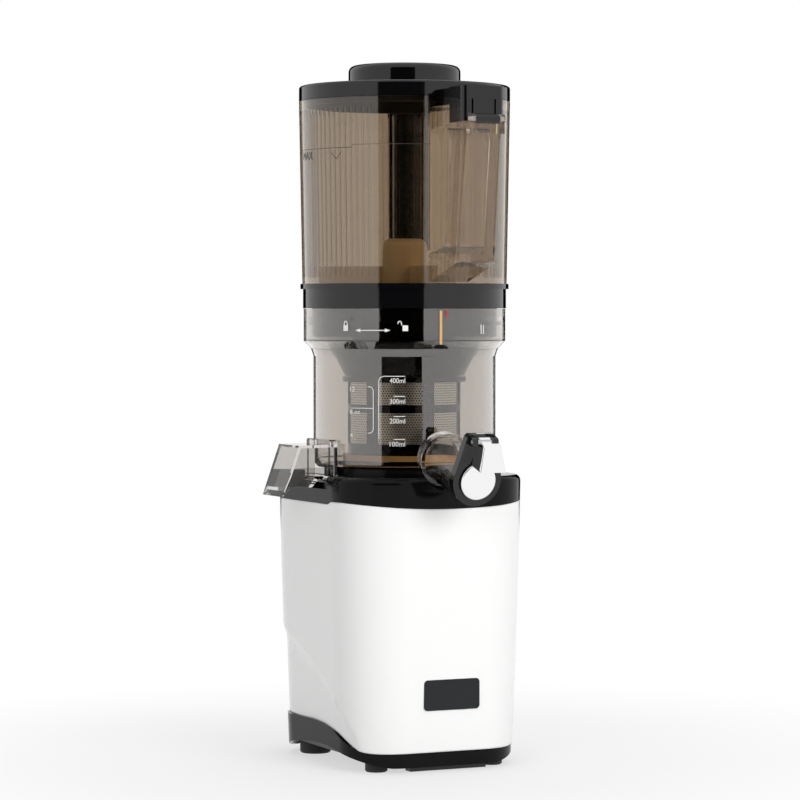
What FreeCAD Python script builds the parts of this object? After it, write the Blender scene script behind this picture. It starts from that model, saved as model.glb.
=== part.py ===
import FreeCAD, Part
import math
import os

# A hands-free cold press juicer, in millimetres. The drive axis is Z, the feet
# stand on z = 0, the juice outlet and the handle point to -Y and the pulp
# spout points to -X.

V = FreeCAD.Vector
ORIGIN = V(0, 0, 0)
X_AXIS = V(1, 0, 0)
Y_AXIS = V(0, 1, 0)
Z_AXIS = V(0, 0, 1)

# Clearances. EXTRA is how far cutting and joining shapes run past a face.
REST_GAP = 0.3
RUNNING_FIT = 0.08
TURN_GAP = 0.6
NEST_GAP = 0.2
EXTRA = 1.0

# Casing
BASE_HEIGHT = 221.0
HALF_WIDTH = 77.0
FRONT_REACH = 82.0
BACK_REACH = 103.5
CORNER_RADIUS = 48.0
BOTTOM_DRAW_IN = 6.5
DRAW_CURVE = 0.4
SHELL_WALL = 3.0
DECK_WALL = 3.5
DECK_THICKNESS = 14.0
DECK_EDGE_RADIUS = 5.0
PLINTH_CLEARANCE = 4.0
PLINTH_INSET = 1.0
PLINTH_ARCH_RISE = 13.0
PLINTH_ARCH_FRONT = 72.0
PLINTH_ARCH_BACK = 84.0
BORDER_DROP = 16.0
BORDER_DIP = 7.4
BORDER_STEP = 5.0
BORDER_STEP_FRONT = 43.0
BORDER_STEP_RUN = 18.0
BORDER_STEP_INSET = 16.0
SKIRT_FRONT = 15.0
SKIRT_MID = 28.0
SKIRT_BACK = 33.0
SKIRT_BEND = 24.0
SCOOP_DEPTH = 2.2
SCOOP_TOP = 99.0
SCOOP_MID = 73.5
SCOOP_LOW = 55.0
SCOOP_SHIN = 30.0
SCOOP_TOE = 60.0

# Feet and bottom
FOOT_RADIUS = 8.5
BACK_FOOT_RADIUS = 12.0
FOOT_CHAMFER = 1.0
COVER_LEVEL = 12.0
FOOT_SPACING_X = 96.0
FOOT_FRONT = 53.0
FOOT_BACK = 62.0
FOOT_STRIP_LENGTH = 63.0
FOOT_STRIP_DEPTH = 9.0
FOOT_STRIP_OFFSET = 5.5
COVER_THICKNESS = 3.0
VENT_COUNT = 9
VENT_WIDTH = 3.0
VENT_PITCH = 7.0
VENT_LENGTH = 50.0
VENT_BACK = 30.0

# Badge plate and switch
BADGE_WIDTH = 46.0
BADGE_HEIGHT = 23.0
BADGE_CORNER = 3.0
BADGE_THICKNESS = 1.6
BADGE_PROUD = 0.6
BADGE_LEVEL = 58.0
BADGE_OFFSET = 2.8
SWITCH_LEVEL = 120.0
SWITCH_OFFSET = 20.0
BEZEL_LENGTH = 34.0
BEZEL_HEIGHT = 26.0
BEZEL_DEPTH = 16.0
BEZEL_PROUD = 1.2
BEZEL_WALL = 3.0
ROCKER_DEPTH = 11.0
ROCKER_PROUD = 2.0
ROCKER_PIN_RADIUS = 1.6
ROCKER_SWING = 12.0
ROCKER_SWING_ROOM = 1.6

# Motor
MOTOR_RADIUS = 47.0
MOTOR_LENGTH = 92.0
MOTOR_WALL = 2.5
STATOR_BORE = 27.0
STATOR_ROOM = 40.0
STATOR_DROP = 12.0
AIR_GAP = 0.8
ROTOR_SHAFT_RADIUS = 5.0
FAN_RADIUS = 36.0
FAN_BLADES = 9
FAN_HEIGHT = 10.0
BEARING_OUTER = 11.0
BEARING_HEIGHT = 7.0

DRIVE_PLATE = 3.0
PLATE_HALF_WIDTH = 60.0
PLATE_FRONT = 46.0
PLATE_BACK = 80.0
POST_RADIUS = 6.0
POST_X = 52.0
POST_FRONT = 38.0
POST_BACK = 66.0
BOARD_THICKNESS = 1.6
BOARD_HALF_WIDTH = 56.0
BOARD_HEIGHT = 55.0
BOARD_LEVEL = 85.0
CAPACITOR_RADIUS = 6.0
CAPACITOR_HEIGHT = 15.0
GLAND_RADIUS = 7.0
GLAND_BORE = 3.6
GLAND_HEAD_RADIUS = 10.0
GLAND_HEAD = 4.0
GLAND_LEVEL = 48.0
GLAND_OFFSET = 30.0
GLAND_LENGTH = 22.0

# Gear train
MODULE = 1.0
PINION_TEETH = 16
WHEEL_TEETH = 64
GEAR_WIDTH = 9.0
PINION_OVERHANG = 1.5
TOOTH_ROOT_SHARE = 0.56
TOOTH_TIP_SHARE = 0.24
ADDENDUM = 0.75
DEDENDUM = 1.15
LAYSHAFT_RADIUS = 4.0
GEARBOX_FLOOR = 4.0
GEARBOX_WALL = 3.0
STAGE_GAP = 4.0
GEARBOX_LID = 4.0
GEARBOX_DROP = 12.0
SCREW_HEAD_RADIUS = 3.6
SCREW_HEAD_HEIGHT = 2.4
SCREW_SLOT = 1.0

# Drive shaft and bowl seat
BOSS_RADIUS = 62.0
BOSS_HEIGHT = 5.0
BOSS_WALL = 4.0
DRIVE_SHAFT_RADIUS = 7.0
DRIVE_SQUARE = 9.0
DRIVE_SQUARE_LENGTH = 22.0
OUTPUT_BEARING_RADIUS = 14.0
OUTPUT_BEARING_HEIGHT = 9.0

# Juice bowl
BOWL_RADIUS = 70.0
BOWL_WALL = 2.4
BOWL_FLOOR = 3.0
BOWL_HEIGHT = 120.7
BOWL_COLLAR_RADIUS = 77.5
BOWL_COLLAR_HEIGHT = 24.5
BOWL_FLARE_HEIGHT = 11.5
BOWL_FLARE_BULGE = 2.0
BOWL_HUB_RADIUS = 14.0
BOWL_HUB_HEIGHT = 10.0
BAYONET_COUNT = 4
BAYONET_ARC = 24.0
BAYONET_DEPTH = 2.6
BAYONET_HEIGHT = 3.0
BAYONET_DROP = 9.0
BAYONET_START = 45.0
SEAL_WIDTH = 2.0

# Strainer and auger
STRAINER_RADIUS = 43.5
STRAINER_WALL = 1.8
STRAINER_HEIGHT = 66.0
STRAINER_FLANGE_RADIUS = 47.5
STRAINER_FLANGE_HEIGHT = 4.0
STRAINER_BARS = 6
STRAINER_BAR_WIDTH = 9.1
WINDOW_LOW = 14.7
WINDOW_HEIGHT = 24.0
WINDOW_RING = 6.0
WINDOW_TOP_HEIGHT = 17.0
MESH_THICKNESS = 0.7
AUGER_RADIUS = 40.0
AUGER_CORE_BOTTOM = 33.0
AUGER_CORE_TOP = 15.0
AUGER_BODY_HEIGHT = 56.0
AUGER_FLIGHTS = 3
AUGER_FLIGHT_WIDTH = 4.0
AUGER_FLIGHT_TURN = 150.0
AUGER_FLIGHT_STEPS = 9
AUGER_NECK_RADIUS = 9.0
AUGER_SOCKET_DEPTH = 25.0
ROTOR_ARMS = 3
ROTOR_ARM_WIDTH = 7.0
ROTOR_REACH = 66.0
ROTOR_HUB_RADIUS = 17.0
ROTOR_HUB_HEIGHT = 34.0
ROTOR_ARM_HEIGHT = 13.0
ROTOR_START = 30.0

# Juice outlet and its cap
SPOUT_SLOPE = 14.0
SPOUT_RADIUS = 17.5
SPOUT_BORE = 15.0
SPOUT_RIM_RADIUS = 20.5
SPOUT_RIM_LENGTH = 4.0
SPOUT_ROOT_REACH = 70.0
SPOUT_ROOT_LEVEL = 8.3
SPOUT_TROUGH_GAP = 1.2
SPOUT_LENGTH = 52.0
HOLDER_LENGTH = 6.0
HOLDER_RADIUS = 19.5
CAP_PIN_RISE = 31.0
HOLDER_TOP_HALF_WIDTH = 12.0
HOLDER_TOP_CORNER = 2.0
HOLDER_CREST_ANGLE = 18.0
CAP_SEAL_DEPTH = 2.5
CAP_PIN_RADIUS = 1.6
CAP_EAR_RADIUS = 4.2
CAP_KNUCKLE_WIDTH = 12.0
CAP_EAR_WIDTH = 4.0
CAP_DISC_RADIUS = 14.0
CAP_DISC_HEIGHT = 2.6
LEVER_WIDTH = 20.0
LEVER_FOOT = 4.0
LEVER_SHOULDER = 23.0
LEVER_REACH = 13.0
LEVER_SHOULDER_REACH = 11.0

# Pulp spout
PULP_HALF_WIDTH = 19.4
PULP_WALL = 2.2
PULP_TOP = 18.7
PULP_FLOOR_DROP = 7.8
PULP_STEP_DROP = 6.0
PULP_SHOULDER = 96.5
PULP_TIP = 110.0
PULP_HEEL = 86.0
PULP_DROP = 20.6
PULP_FLANGE = 3.0
PULP_FLANGE_THICKNESS = 2.4
PULP_VALVE = 13.0
PULP_TROUGH_GAP = 4.0
PULP_TROUGH_DEPTH = 10.0

# Hopper
HOPPER_HEIGHT = 139.0
HOPPER_TOP_RADIUS = 81.0
HOPPER_BOTTOM_RADIUS = 78.5
HOPPER_WALL = 2.8
RIB_COUNT = 96
RIB_WIDTH = 1.4
RIB_DEPTH = 0.9
RIB_FOOT = 5.0
RIB_HEAD = 7.0
BAND_HEIGHT = 14.7
BAND_RADIUS = 78.0
FLANGE_HEIGHT = 4.0
FLANGE_RADIUS = 80.0
FLOOR_HOLE_RADIUS = 45.0
FUNNEL_SLEEVE_RADIUS = 71.0
FUNNEL_WALL = 2.6
FUNNEL_SLEEVE_DROP = 21.0
FUNNEL_SHOULDER_RADIUS = 59.0
FUNNEL_SHOULDER_DROP = 26.0
FUNNEL_MOUTH_RADIUS = 46.0

# Handle and lid
HANDLE_HALF_WIDTH = 16.0
HANDLE_TOP_REACH = 137.0
HANDLE_BOTTOM_REACH = 126.0
HANDLE_TOP_DROP = 22.0
HANDLE_HEEL_RISE = 15.0
HANDLE_GRIP_DEPTH = 20.0
HANDLE_BRIDGE = 3.0
HANDLE_FOOT = 12.0
HANDLE_WALL = 2.5
HANDLE_CORNER = 4.0
HANDLE_GAP_ROUND = 11.0
ARM_HALF_WIDTH = 16.8
ARM_HEIGHT = 26.0
ARM_OVERLAP = 3.0
ARM_NECK_HALF = 12.0
ARM_NECK_HEIGHT = 12.5
ARM_SLOT = 1.4
ARM_SLOT_X = 9.2
ARM_SLOT_LOW = 4.0
ARM_SLOT_TOP = 16.5
LID_RIM_HEIGHT = 11.7
LID_CAP_HEIGHT = 16.0
LID_CAP_RADIUS = 43.0
LID_CAP_ROUND = 5.0
LID_SKIN = 3.0
LID_EDGE_RADIUS = 2.0
LID_PLUG_RADIUS = 75.5
LID_PLUG_DEPTH = 4.0
LID_PLUG_WALL = 3.0
LID_PIN_RADIUS = 1.8
LID_KNUCKLE_RADIUS = 3.6
LID_PIN_PROUD = 3.8
LID_PIN_RISE = 2.0
LID_EAR_WIDTH = 4.0

# Levels and places that follow from the sizes above
DECK_UNDER = BASE_HEIGHT - DECK_THICKNESS
BORDER_SIDE = BASE_HEIGHT - BORDER_DROP
BOSS_TOP = BASE_HEIGHT + BOSS_HEIGHT
BOWL_BOTTOM = BOSS_TOP + REST_GAP
BOWL_TOP = BOWL_BOTTOM + BOWL_HEIGHT
BOWL_INSIDE = BOWL_BOTTOM + BOWL_FLOOR
BAND_BOTTOM = BOWL_TOP + REST_GAP
FLANGE_BOTTOM = BAND_BOTTOM + BAND_HEIGHT
HOPPER_BOTTOM = FLANGE_BOTTOM + FLANGE_HEIGHT
HOPPER_TOP = HOPPER_BOTTOM + HOPPER_HEIGHT
LID_BOTTOM = HOPPER_TOP + REST_GAP
LID_RIM_TOP = LID_BOTTOM + LID_RIM_HEIGHT
CENTRE_DISTANCE = MODULE * (PINION_TEETH + WHEEL_TEETH) / 2
COVER_TOP = DECK_UNDER - GEARBOX_DROP
GEARBOX_TOP = COVER_TOP - GEARBOX_LID
SECOND_STAGE = GEARBOX_TOP - PINION_OVERHANG - GEAR_WIDTH
FIRST_STAGE = SECOND_STAGE - STAGE_GAP - GEAR_WIDTH
PLATE_TOP = FIRST_STAGE - PINION_OVERHANG - GEARBOX_FLOOR
MOTOR_TOP = PLATE_TOP - DRIVE_PLATE
MOTOR_FLOOR = MOTOR_TOP - MOTOR_LENGTH
STATOR_LENGTH = MOTOR_LENGTH - STATOR_ROOM
SHAFT_SHOULDER = BOWL_BOTTOM + BOWL_HUB_HEIGHT
SHAFT_TOP = SHAFT_SHOULDER + DRIVE_SQUARE_LENGTH
AUGER_BOTTOM = SHAFT_SHOULDER + TURN_GAP


def cylinder(radius, bottom, top):
    return Part.makeCylinder(radius, top - bottom, V(0, 0, bottom), Z_AXIS)


def tube(outer, inner, bottom, top):
    bore = cylinder(inner, bottom - EXTRA, top + EXTRA)
    return cylinder(outer, bottom, top).cut(bore)


def block(x0, x1, y0, y1, z0, z1):
    return Part.makeBox(x1 - x0, y1 - y0, z1 - z0, V(x0, y0, z0))


def turned(profile):
    """Solid of revolution about Z of a closed list of (radius, height)."""
    points = [V(radius, 0, height) for radius, height in profile]
    points.append(points[0])
    face = Part.Face(Part.makePolygon(points))
    return face.revolve(ORIGIN, Z_AXIS, 360)


def copies_around(shape, count, start=0.0):
    """The shape at count even steps about Z."""
    made = []
    for index in range(count):
        copy = shape.copy()
        copy.rotate(ORIGIN, Z_AXIS, start + index * 360.0 / count)
        made.append(copy)
    return made


def fused(shapes):
    whole = shapes[0].multiFuse(shapes[1:])
    return whole.removeSplitter()


def plate_yz(outline, half_width):
    """Plate of a closed (y, z) outline, spread evenly about x = 0."""
    points = [V(-half_width, y, z) for y, z in outline]
    points.append(points[0])
    face = Part.Face(Part.makePolygon(points))
    return face.extrude(V(2 * half_width, 0, 0))


def plate_xz(outline, half_width):
    """Plate of a closed (x, z) outline, spread evenly about y = 0."""
    points = [V(x, -half_width, z) for x, z in outline]
    points.append(points[0])
    face = Part.Face(Part.makePolygon(points))
    return face.extrude(V(0, 2 * half_width, 0))


def save(shape, node):
    shape.exportStep("parts/" + node + ".step")


def drawn_in(height):
    """How far the casing has narrowed at one height, more and more towards the floor."""
    share = 1.0 - height / BASE_HEIGHT
    return BOTTOM_DRAW_IN * share * (1.0 - DRAW_CURVE + DRAW_CURVE * share)


def back_face(height):
    return BACK_REACH - drawn_in(height)


def planform(height, inset):
    """Rounded outline of the casing at one height, drawn in by inset."""
    drawn = inset + drawn_in(height)
    right = HALF_WIDTH - drawn
    front = -FRONT_REACH + drawn
    back = BACK_REACH - drawn
    radius = CORNER_RADIUS - drawn
    corners = [
        (right - radius, front + radius, -90),
        (right - radius, back - radius, 0),
        (-right + radius, back - radius, 90),
        (-right + radius, front + radius, 180),
    ]
    ends = []
    arcs = []
    for x, y, start in corners:
        points = []
        for turn in (0, 45, 90):
            angle = math.radians(start + turn)
            points.append(V(x + radius * math.cos(angle), y + radius * math.sin(angle), height))
        arcs.append(Part.Arc(*points).toShape())
        ends.append((points[0], points[2]))
    edges = []
    for index, arc in enumerate(arcs):
        edges.append(arc)
        following = ends[(index + 1) % len(ends)][0]
        edges.append(Part.LineSegment(ends[index][1], following).toShape())
    return Part.Wire(edges)


def casing(inset):
    """The casing's tapered body from the floor to the deck, drawn in by inset."""
    levels = (0.0, BASE_HEIGHT / 3, BASE_HEIGHT)
    return Part.makeLoft([planform(level, inset) for level in levels], True, False)


def border_step():
    """The lower run of the border on the left, which falls in an S behind the corner."""
    left = -2 * HALF_WIDTH
    low = BORDER_SIDE - BORDER_STEP
    top = 2 * BASE_HEIGHT
    start = V(left, -BORDER_STEP_FRONT, BORDER_SIDE)
    end = V(left, BORDER_STEP_RUN - BORDER_STEP_FRONT, low)
    fall = Part.BSplineCurve()
    fall.interpolate(Points=[start, end], InitialTangent=Y_AXIS * BORDER_STEP_RUN,
                     FinalTangent=Y_AXIS * BORDER_STEP_RUN)
    closing = Part.makePolygon([end, V(left, 2 * BACK_REACH, low), V(left, 2 * BACK_REACH, top),
                                V(left, -BORDER_STEP_FRONT, top), start])
    face = Part.Face(Part.Wire([fall.toShape()] + closing.Edges))
    return face.extrude(V(HALF_WIDTH + BORDER_STEP_INSET, 0, 0))


def border_region():
    """All that lies above the joint between the white shell and the deck."""
    wide = 2 * HALF_WIDTH
    side = BORDER_SIDE
    edge = HALF_WIDTH + BORDER_STEP_INSET
    points = [V(-edge, 0, side), V(0, 0, side - BORDER_DIP), V(edge, 0, side)]
    dip = Part.Arc(*points).toShape()
    top = 2 * BASE_HEIGHT
    rest = Part.makePolygon([points[2], V(wide, 0, side), V(wide, 0, top),
                             V(-wide, 0, top), V(-wide, 0, side), points[0]])
    face = Part.Face(Part.Wire([dip] + rest.Edges))
    face.translate(V(0, -2 * FRONT_REACH, 0))
    region = face.extrude(V(0, 4 * BACK_REACH, 0))
    return region.fuse(border_step()).removeSplitter()


def side_curve(points):
    """Smooth curve through (y, z) points at the far left."""
    curve = Part.BSplineCurve()
    curve.interpolate([V(-2 * HALF_WIDTH, y, z) for y, z in points])
    return curve.toShape()


def below_curve(points, floor):
    """All between a smooth side-view curve and a low floor, full width."""
    curve = side_curve(points)
    first = points[0]
    last = points[-1]
    left = -2 * HALF_WIDTH
    closing = Part.makePolygon([V(left, last[0], last[1]), V(left, last[0], floor),
                                V(left, first[0], floor), V(left, first[0], first[1])])
    face = Part.Face(Part.Wire([curve] + closing.Edges))
    return face.extrude(V(4 * HALF_WIDTH, 0, 0))


def skirt_region():
    """All that lies below the joint between the white shell and the plinth."""
    points = [
        (-FRONT_REACH - SHELL_WALL, SKIRT_FRONT),
        (-SCOOP_TOE, SKIRT_FRONT + EXTRA),
        (-SKIRT_BEND, SKIRT_MID),
        (BACK_REACH / 2, SKIRT_BACK - EXTRA),
        (BACK_REACH + SHELL_WALL, SKIRT_BACK),
    ]
    return below_curve(points, -BASE_HEIGHT)


def scoop_region():
    """The hollowed lower part of both sides, below a falling crease."""
    points = [
        (-SCOOP_TOE, 0.0),
        (-SCOOP_TOE + 2 * SHELL_WALL, SCOOP_SHIN),
        (-SCOOP_TOE / 2, SCOOP_LOW),
        (0.0, SCOOP_MID),
        (0.6 * BACK_REACH, SCOOP_TOP),
        (1.2 * BACK_REACH, SCOOP_TOP + 3 * SHELL_WALL),
    ]
    return below_curve(points, -BASE_HEIGHT)


def badge_outline(grow):
    """Rounded plate on the front at the badge's place."""
    half = BADGE_WIDTH / 2 + grow
    low = BADGE_LEVEL - BADGE_HEIGHT / 2 - grow
    high = BADGE_LEVEL + BADGE_HEIGHT / 2 + grow
    plate = block(BADGE_OFFSET - half, BADGE_OFFSET + half, -2 * FRONT_REACH, -FRONT_REACH / 2,
                  low, high)
    edges = [edge for edge in plate.Edges
             if abs(edge.Vertexes[0].Y - edge.Vertexes[1].Y) > EXTRA]
    return plate.makeFillet(BADGE_CORNER, edges)


def switch_place(grow, depth, proud):
    """Box round the switch, measured from the right side's face."""
    face = HALF_WIDTH - BOTTOM_DRAW_IN / 3
    return block(face - depth, face + proud,
                 SWITCH_OFFSET - BEZEL_LENGTH / 2 - grow, SWITCH_OFFSET + BEZEL_LENGTH / 2 + grow,
                 SWITCH_LEVEL - BEZEL_HEIGHT / 2 - grow, SWITCH_LEVEL + BEZEL_HEIGHT / 2 + grow)


def gland_place(radius, inward, outward):
    """Cylinder along Y through the back wall, at the mains cord's entry."""
    wall = back_face(GLAND_LEVEL)
    start = V(-GLAND_OFFSET, wall - inward, GLAND_LEVEL)
    return Part.makeCylinder(radius, inward + outward, start, Y_AXIS)


def spout_place(shape):
    """Moves a shape drawn along Z onto the falling axis of the juice outlet."""
    placed = shape.copy()
    placed.rotate(ORIGIN, X_AXIS, 90 + SPOUT_SLOPE)
    placed.translate(V(0, -SPOUT_ROOT_REACH, BOWL_BOTTOM + SPOUT_ROOT_LEVEL))
    return placed


def spout_trough():
    """Room in the deck for the juice outlet, open upwards so that the bowl lifts."""
    radius = SPOUT_RIM_RADIUS + SPOUT_TROUGH_GAP
    inward = SPOUT_RIM_LENGTH + SPOUT_TROUGH_GAP + BOWL_WALL
    round_part = spout_place(cylinder(radius, -inward, SPOUT_LENGTH))
    above = block(-radius, radius, 0, SPOUT_RIM_RADIUS * 2, -inward, SPOUT_LENGTH)
    return round_part.fuse(spout_place(above))


def pulp_trough():
    """Room in the deck's left side under the pulp spout."""
    half = PULP_HALF_WIDTH + PULP_FLANGE + PULP_TROUGH_GAP
    floor = BASE_HEIGHT - PULP_TROUGH_DEPTH
    slope = PULP_TROUGH_DEPTH
    reach = 2 * HALF_WIDTH
    inner = BOSS_RADIUS + BOSS_WALL
    outline = [V(-reach, -half, floor), V(-reach, half, floor),
               V(-reach, half + slope, 2 * BASE_HEIGHT), V(-reach, -half - slope, 2 * BASE_HEIGHT)]
    outline.append(outline[0])
    face = Part.Face(Part.makePolygon(outline))
    return face.extrude(V(reach - inner, 0, 0))


def make_shell():
    """White casing: tapered, with a hollowed lower part on both sides."""
    scooped = casing(SCOOP_DEPTH).common(scoop_region())
    outer = casing(0.0).cut(scoop_region()).fuse(scooped)
    shell = outer.cut(casing(SHELL_WALL + SCOOP_DEPTH / 2))
    shell = shell.cut(border_region()).cut(skirt_region())
    shell = shell.cut(badge_outline(NEST_GAP))
    shell = shell.cut(switch_place(NEST_GAP, 2 * BEZEL_DEPTH, BEZEL_DEPTH))
    shell = shell.cut(gland_place(GLAND_RADIUS + NEST_GAP, GLAND_LENGTH, GLAND_LENGTH))
    save(shell, "body_shell")


def make_deck():
    """Black deck with the ring that the bowl stands on and its two troughs."""
    deck = casing(0.0).common(border_region())
    top_edges = [edge for edge in deck.Edges if edge.BoundBox.ZMin > BASE_HEIGHT - NEST_GAP]
    deck = deck.makeFillet(DECK_EDGE_RADIUS, top_edges)
    under = block(-2 * HALF_WIDTH, 2 * HALF_WIDTH, -2 * FRONT_REACH, 2 * BACK_REACH, 0, DECK_UNDER)
    deck = deck.cut(casing(DECK_WALL).common(under))
    boss = tube(BOSS_RADIUS, BOSS_RADIUS - BOSS_WALL, BASE_HEIGHT - EXTRA, BOSS_TOP)
    deck = deck.fuse(boss).cut(spout_trough()).cut(pulp_trough())
    deck = deck.cut(cylinder(DRIVE_SHAFT_RADIUS + TURN_GAP, 0, BOSS_TOP))
    save(deck.removeSplitter(), "top_deck")


def make_plinth():
    """Black skirt under the casing, arched up along both sides."""
    ring = casing(PLINTH_INSET).cut(casing(PLINTH_INSET + SHELL_WALL))
    ring = ring.common(skirt_region())
    wide = 2 * HALF_WIDTH
    ring = ring.cut(block(-wide, wide, -wide, wide, -EXTRA, PLINTH_CLEARANCE))
    arch = below_curve([
        (-PLINTH_ARCH_FRONT, PLINTH_CLEARANCE),
        (-PLINTH_ARCH_FRONT / 2, PLINTH_ARCH_RISE),
        (PLINTH_ARCH_BACK / 2, PLINTH_ARCH_RISE),
        (PLINTH_ARCH_BACK, PLINTH_CLEARANCE),
    ], -BASE_HEIGHT)
    save(ring.cut(arch), "plinth")


def make_bottom():
    """Bottom cover with its vent slots, four round feet and the front strip foot."""
    top = COVER_LEVEL + COVER_THICKNESS
    wide = 2 * HALF_WIDTH
    slab = block(-wide, wide, -wide, wide, COVER_LEVEL, top)
    cover = casing(PLINTH_INSET + SHELL_WALL + NEST_GAP).common(slab)
    slots = []
    for index in range(VENT_COUNT):
        x = (index - (VENT_COUNT - 1) / 2) * VENT_PITCH
        slots.append(block(x - VENT_WIDTH / 2, x + VENT_WIDTH / 2,
                           VENT_BACK - VENT_LENGTH, VENT_BACK, 0, 2 * top))
    save(cover.cut(fused(slots)), "bottom_cover")
    feet = []
    for x in (-FOOT_SPACING_X / 2, FOOT_SPACING_X / 2):
        for y, radius in ((-FOOT_FRONT, FOOT_RADIUS), (FOOT_BACK, BACK_FOOT_RADIUS)):
            foot = cylinder(radius, 0, COVER_LEVEL)
            foot = foot.makeChamfer(FOOT_CHAMFER, [foot.Edges[2]])
            foot.translate(V(x, y, 0))
            feet.append(foot)
    save(Part.makeCompound(feet), "rubber_feet")
    centre = FOOT_STRIP_OFFSET
    back = -FOOT_FRONT - FOOT_RADIUS / 2
    strip = block(centre - FOOT_STRIP_LENGTH / 2, centre + FOOT_STRIP_LENGTH / 2,
                  back - FOOT_STRIP_DEPTH, back, 0, COVER_LEVEL)
    save(strip, "front_foot_strip")


def make_badge():
    """Bare plate let into the front of the casing."""
    face = -FRONT_REACH + drawn_in(BADGE_LEVEL)
    slab = block(-HALF_WIDTH, HALF_WIDTH, face - BADGE_PROUD,
                 face - BADGE_PROUD + SHELL_WALL + BADGE_THICKNESS, 0, BASE_HEIGHT)
    save(badge_outline(0.0).common(slab), "badge_plate")


def make_switch():
    """Power switch on the right side: a fixed bezel and a rocker on a pin."""
    bezel = switch_place(0.0, BEZEL_DEPTH, BEZEL_PROUD)
    face = HALF_WIDTH - BOTTOM_DRAW_IN / 3
    half_y = BEZEL_LENGTH / 2 - BEZEL_WALL
    half_z = BEZEL_HEIGHT / 2 - BEZEL_WALL
    well = block(face - BEZEL_DEPTH + BEZEL_WALL, face + BEZEL_DEPTH, SWITCH_OFFSET - half_y,
                 SWITCH_OFFSET + half_y, SWITCH_LEVEL - half_z, SWITCH_LEVEL + half_z)
    pivot = V(face - ROCKER_DEPTH / 2, SWITCH_OFFSET - BEZEL_LENGTH / 2 + EXTRA, SWITCH_LEVEL)
    pin = Part.makeCylinder(ROCKER_PIN_RADIUS, BEZEL_LENGTH - 2 * EXTRA, pivot, Y_AXIS)
    save(bezel.cut(well).fuse(pin).removeSplitter(), "switch_bezel")
    depth = ROCKER_DEPTH / 2 - EXTRA
    rocker = block(face - ROCKER_DEPTH / 2 - depth, face + ROCKER_PROUD,
                   SWITCH_OFFSET - half_y + REST_GAP, SWITCH_OFFSET + half_y - REST_GAP,
                   SWITCH_LEVEL - half_z + ROCKER_SWING_ROOM, SWITCH_LEVEL + half_z - ROCKER_SWING_ROOM)
    bore = Part.makeCylinder(ROCKER_PIN_RADIUS + RUNNING_FIT, BEZEL_LENGTH, pivot - Y_AXIS, Y_AXIS)
    rocker = rocker.cut(bore)
    rocker.rotate(pivot, Y_AXIS, ROCKER_SWING / 2)
    save(rocker, "power_switch")


def make_gland():
    """Gland in the back wall, where the mains cord enters."""
    neck = gland_place(GLAND_RADIUS, GLAND_LENGTH - GLAND_HEAD, GLAND_HEAD)
    head = gland_place(GLAND_HEAD_RADIUS, -NEST_GAP, GLAND_HEAD)
    bore = gland_place(GLAND_BORE, GLAND_LENGTH, 2 * GLAND_HEAD)
    save(neck.fuse(head).cut(bore).removeSplitter(), "cord_gland")


def make_frame():
    """Plate that carries motor and gearbox, on four posts from the bottom cover."""
    plate = block(-PLATE_HALF_WIDTH, PLATE_HALF_WIDTH, -PLATE_FRONT, PLATE_BACK, MOTOR_TOP, PLATE_TOP)
    save(plate.cut(cylinder(BEARING_OUTER, 0, BASE_HEIGHT)), "drive_plate")
    posts = []
    for x in (-POST_X, POST_X):
        for y in (-POST_FRONT, POST_BACK):
            post = cylinder(POST_RADIUS, COVER_LEVEL + COVER_THICKNESS, MOTOR_TOP)
            post.translate(V(x, y, 0))
            posts.append(post)
    save(Part.makeCompound(posts), "frame_posts")


def bearing(outer, inner, bottom, height):
    return tube(outer, inner + RUNNING_FIT, bottom, bottom + height)


def make_motor():
    """Motor can under the drive plate, its stator and its two bearings."""
    can = tube(MOTOR_RADIUS, MOTOR_RADIUS - MOTOR_WALL, MOTOR_FLOOR, MOTOR_TOP)
    floor = cylinder(MOTOR_RADIUS, MOTOR_FLOOR, MOTOR_FLOOR + MOTOR_WALL)
    hub = cylinder(BEARING_OUTER + MOTOR_WALL, MOTOR_FLOOR, MOTOR_FLOOR + MOTOR_WALL + BEARING_HEIGHT)
    seat = cylinder(BEARING_OUTER, MOTOR_FLOOR + MOTOR_WALL, MOTOR_TOP)
    save(fused([can, floor, hub]).cut(seat), "motor_housing")
    stator_top = MOTOR_TOP - STATOR_DROP
    stator = tube(MOTOR_RADIUS - MOTOR_WALL, STATOR_BORE + AIR_GAP, stator_top - STATOR_LENGTH, stator_top)
    save(stator, "motor_stator")
    low = bearing(BEARING_OUTER, ROTOR_SHAFT_RADIUS, MOTOR_FLOOR + MOTOR_WALL, BEARING_HEIGHT)
    high = bearing(BEARING_OUTER, ROTOR_SHAFT_RADIUS, MOTOR_TOP, DRIVE_PLATE)
    save(Part.makeCompound([low, high]), "motor_bearings")


def gear(teeth, bottom, height, first_tooth, centre_y):
    """Spur gear with straight-flanked teeth; first_tooth is a tooth's angle."""
    pitch_radius = MODULE * teeth / 2
    tip = pitch_radius + MODULE * ADDENDUM
    root = pitch_radius - MODULE * DEDENDUM
    pitch = 360.0 / teeth
    points = []
    for index in range(teeth):
        middle = first_tooth + index * pitch
        for radius, share in ((root, -TOOTH_ROOT_SHARE), (tip, -TOOTH_TIP_SHARE),
                              (tip, TOOTH_TIP_SHARE), (root, TOOTH_ROOT_SHARE)):
            angle = math.radians(middle + share * pitch / 2)
            points.append(V(radius * math.cos(angle), centre_y + radius * math.sin(angle), bottom))
    points.append(points[0])
    return Part.Face(Part.makePolygon(points)).extrude(V(0, 0, height))


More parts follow.
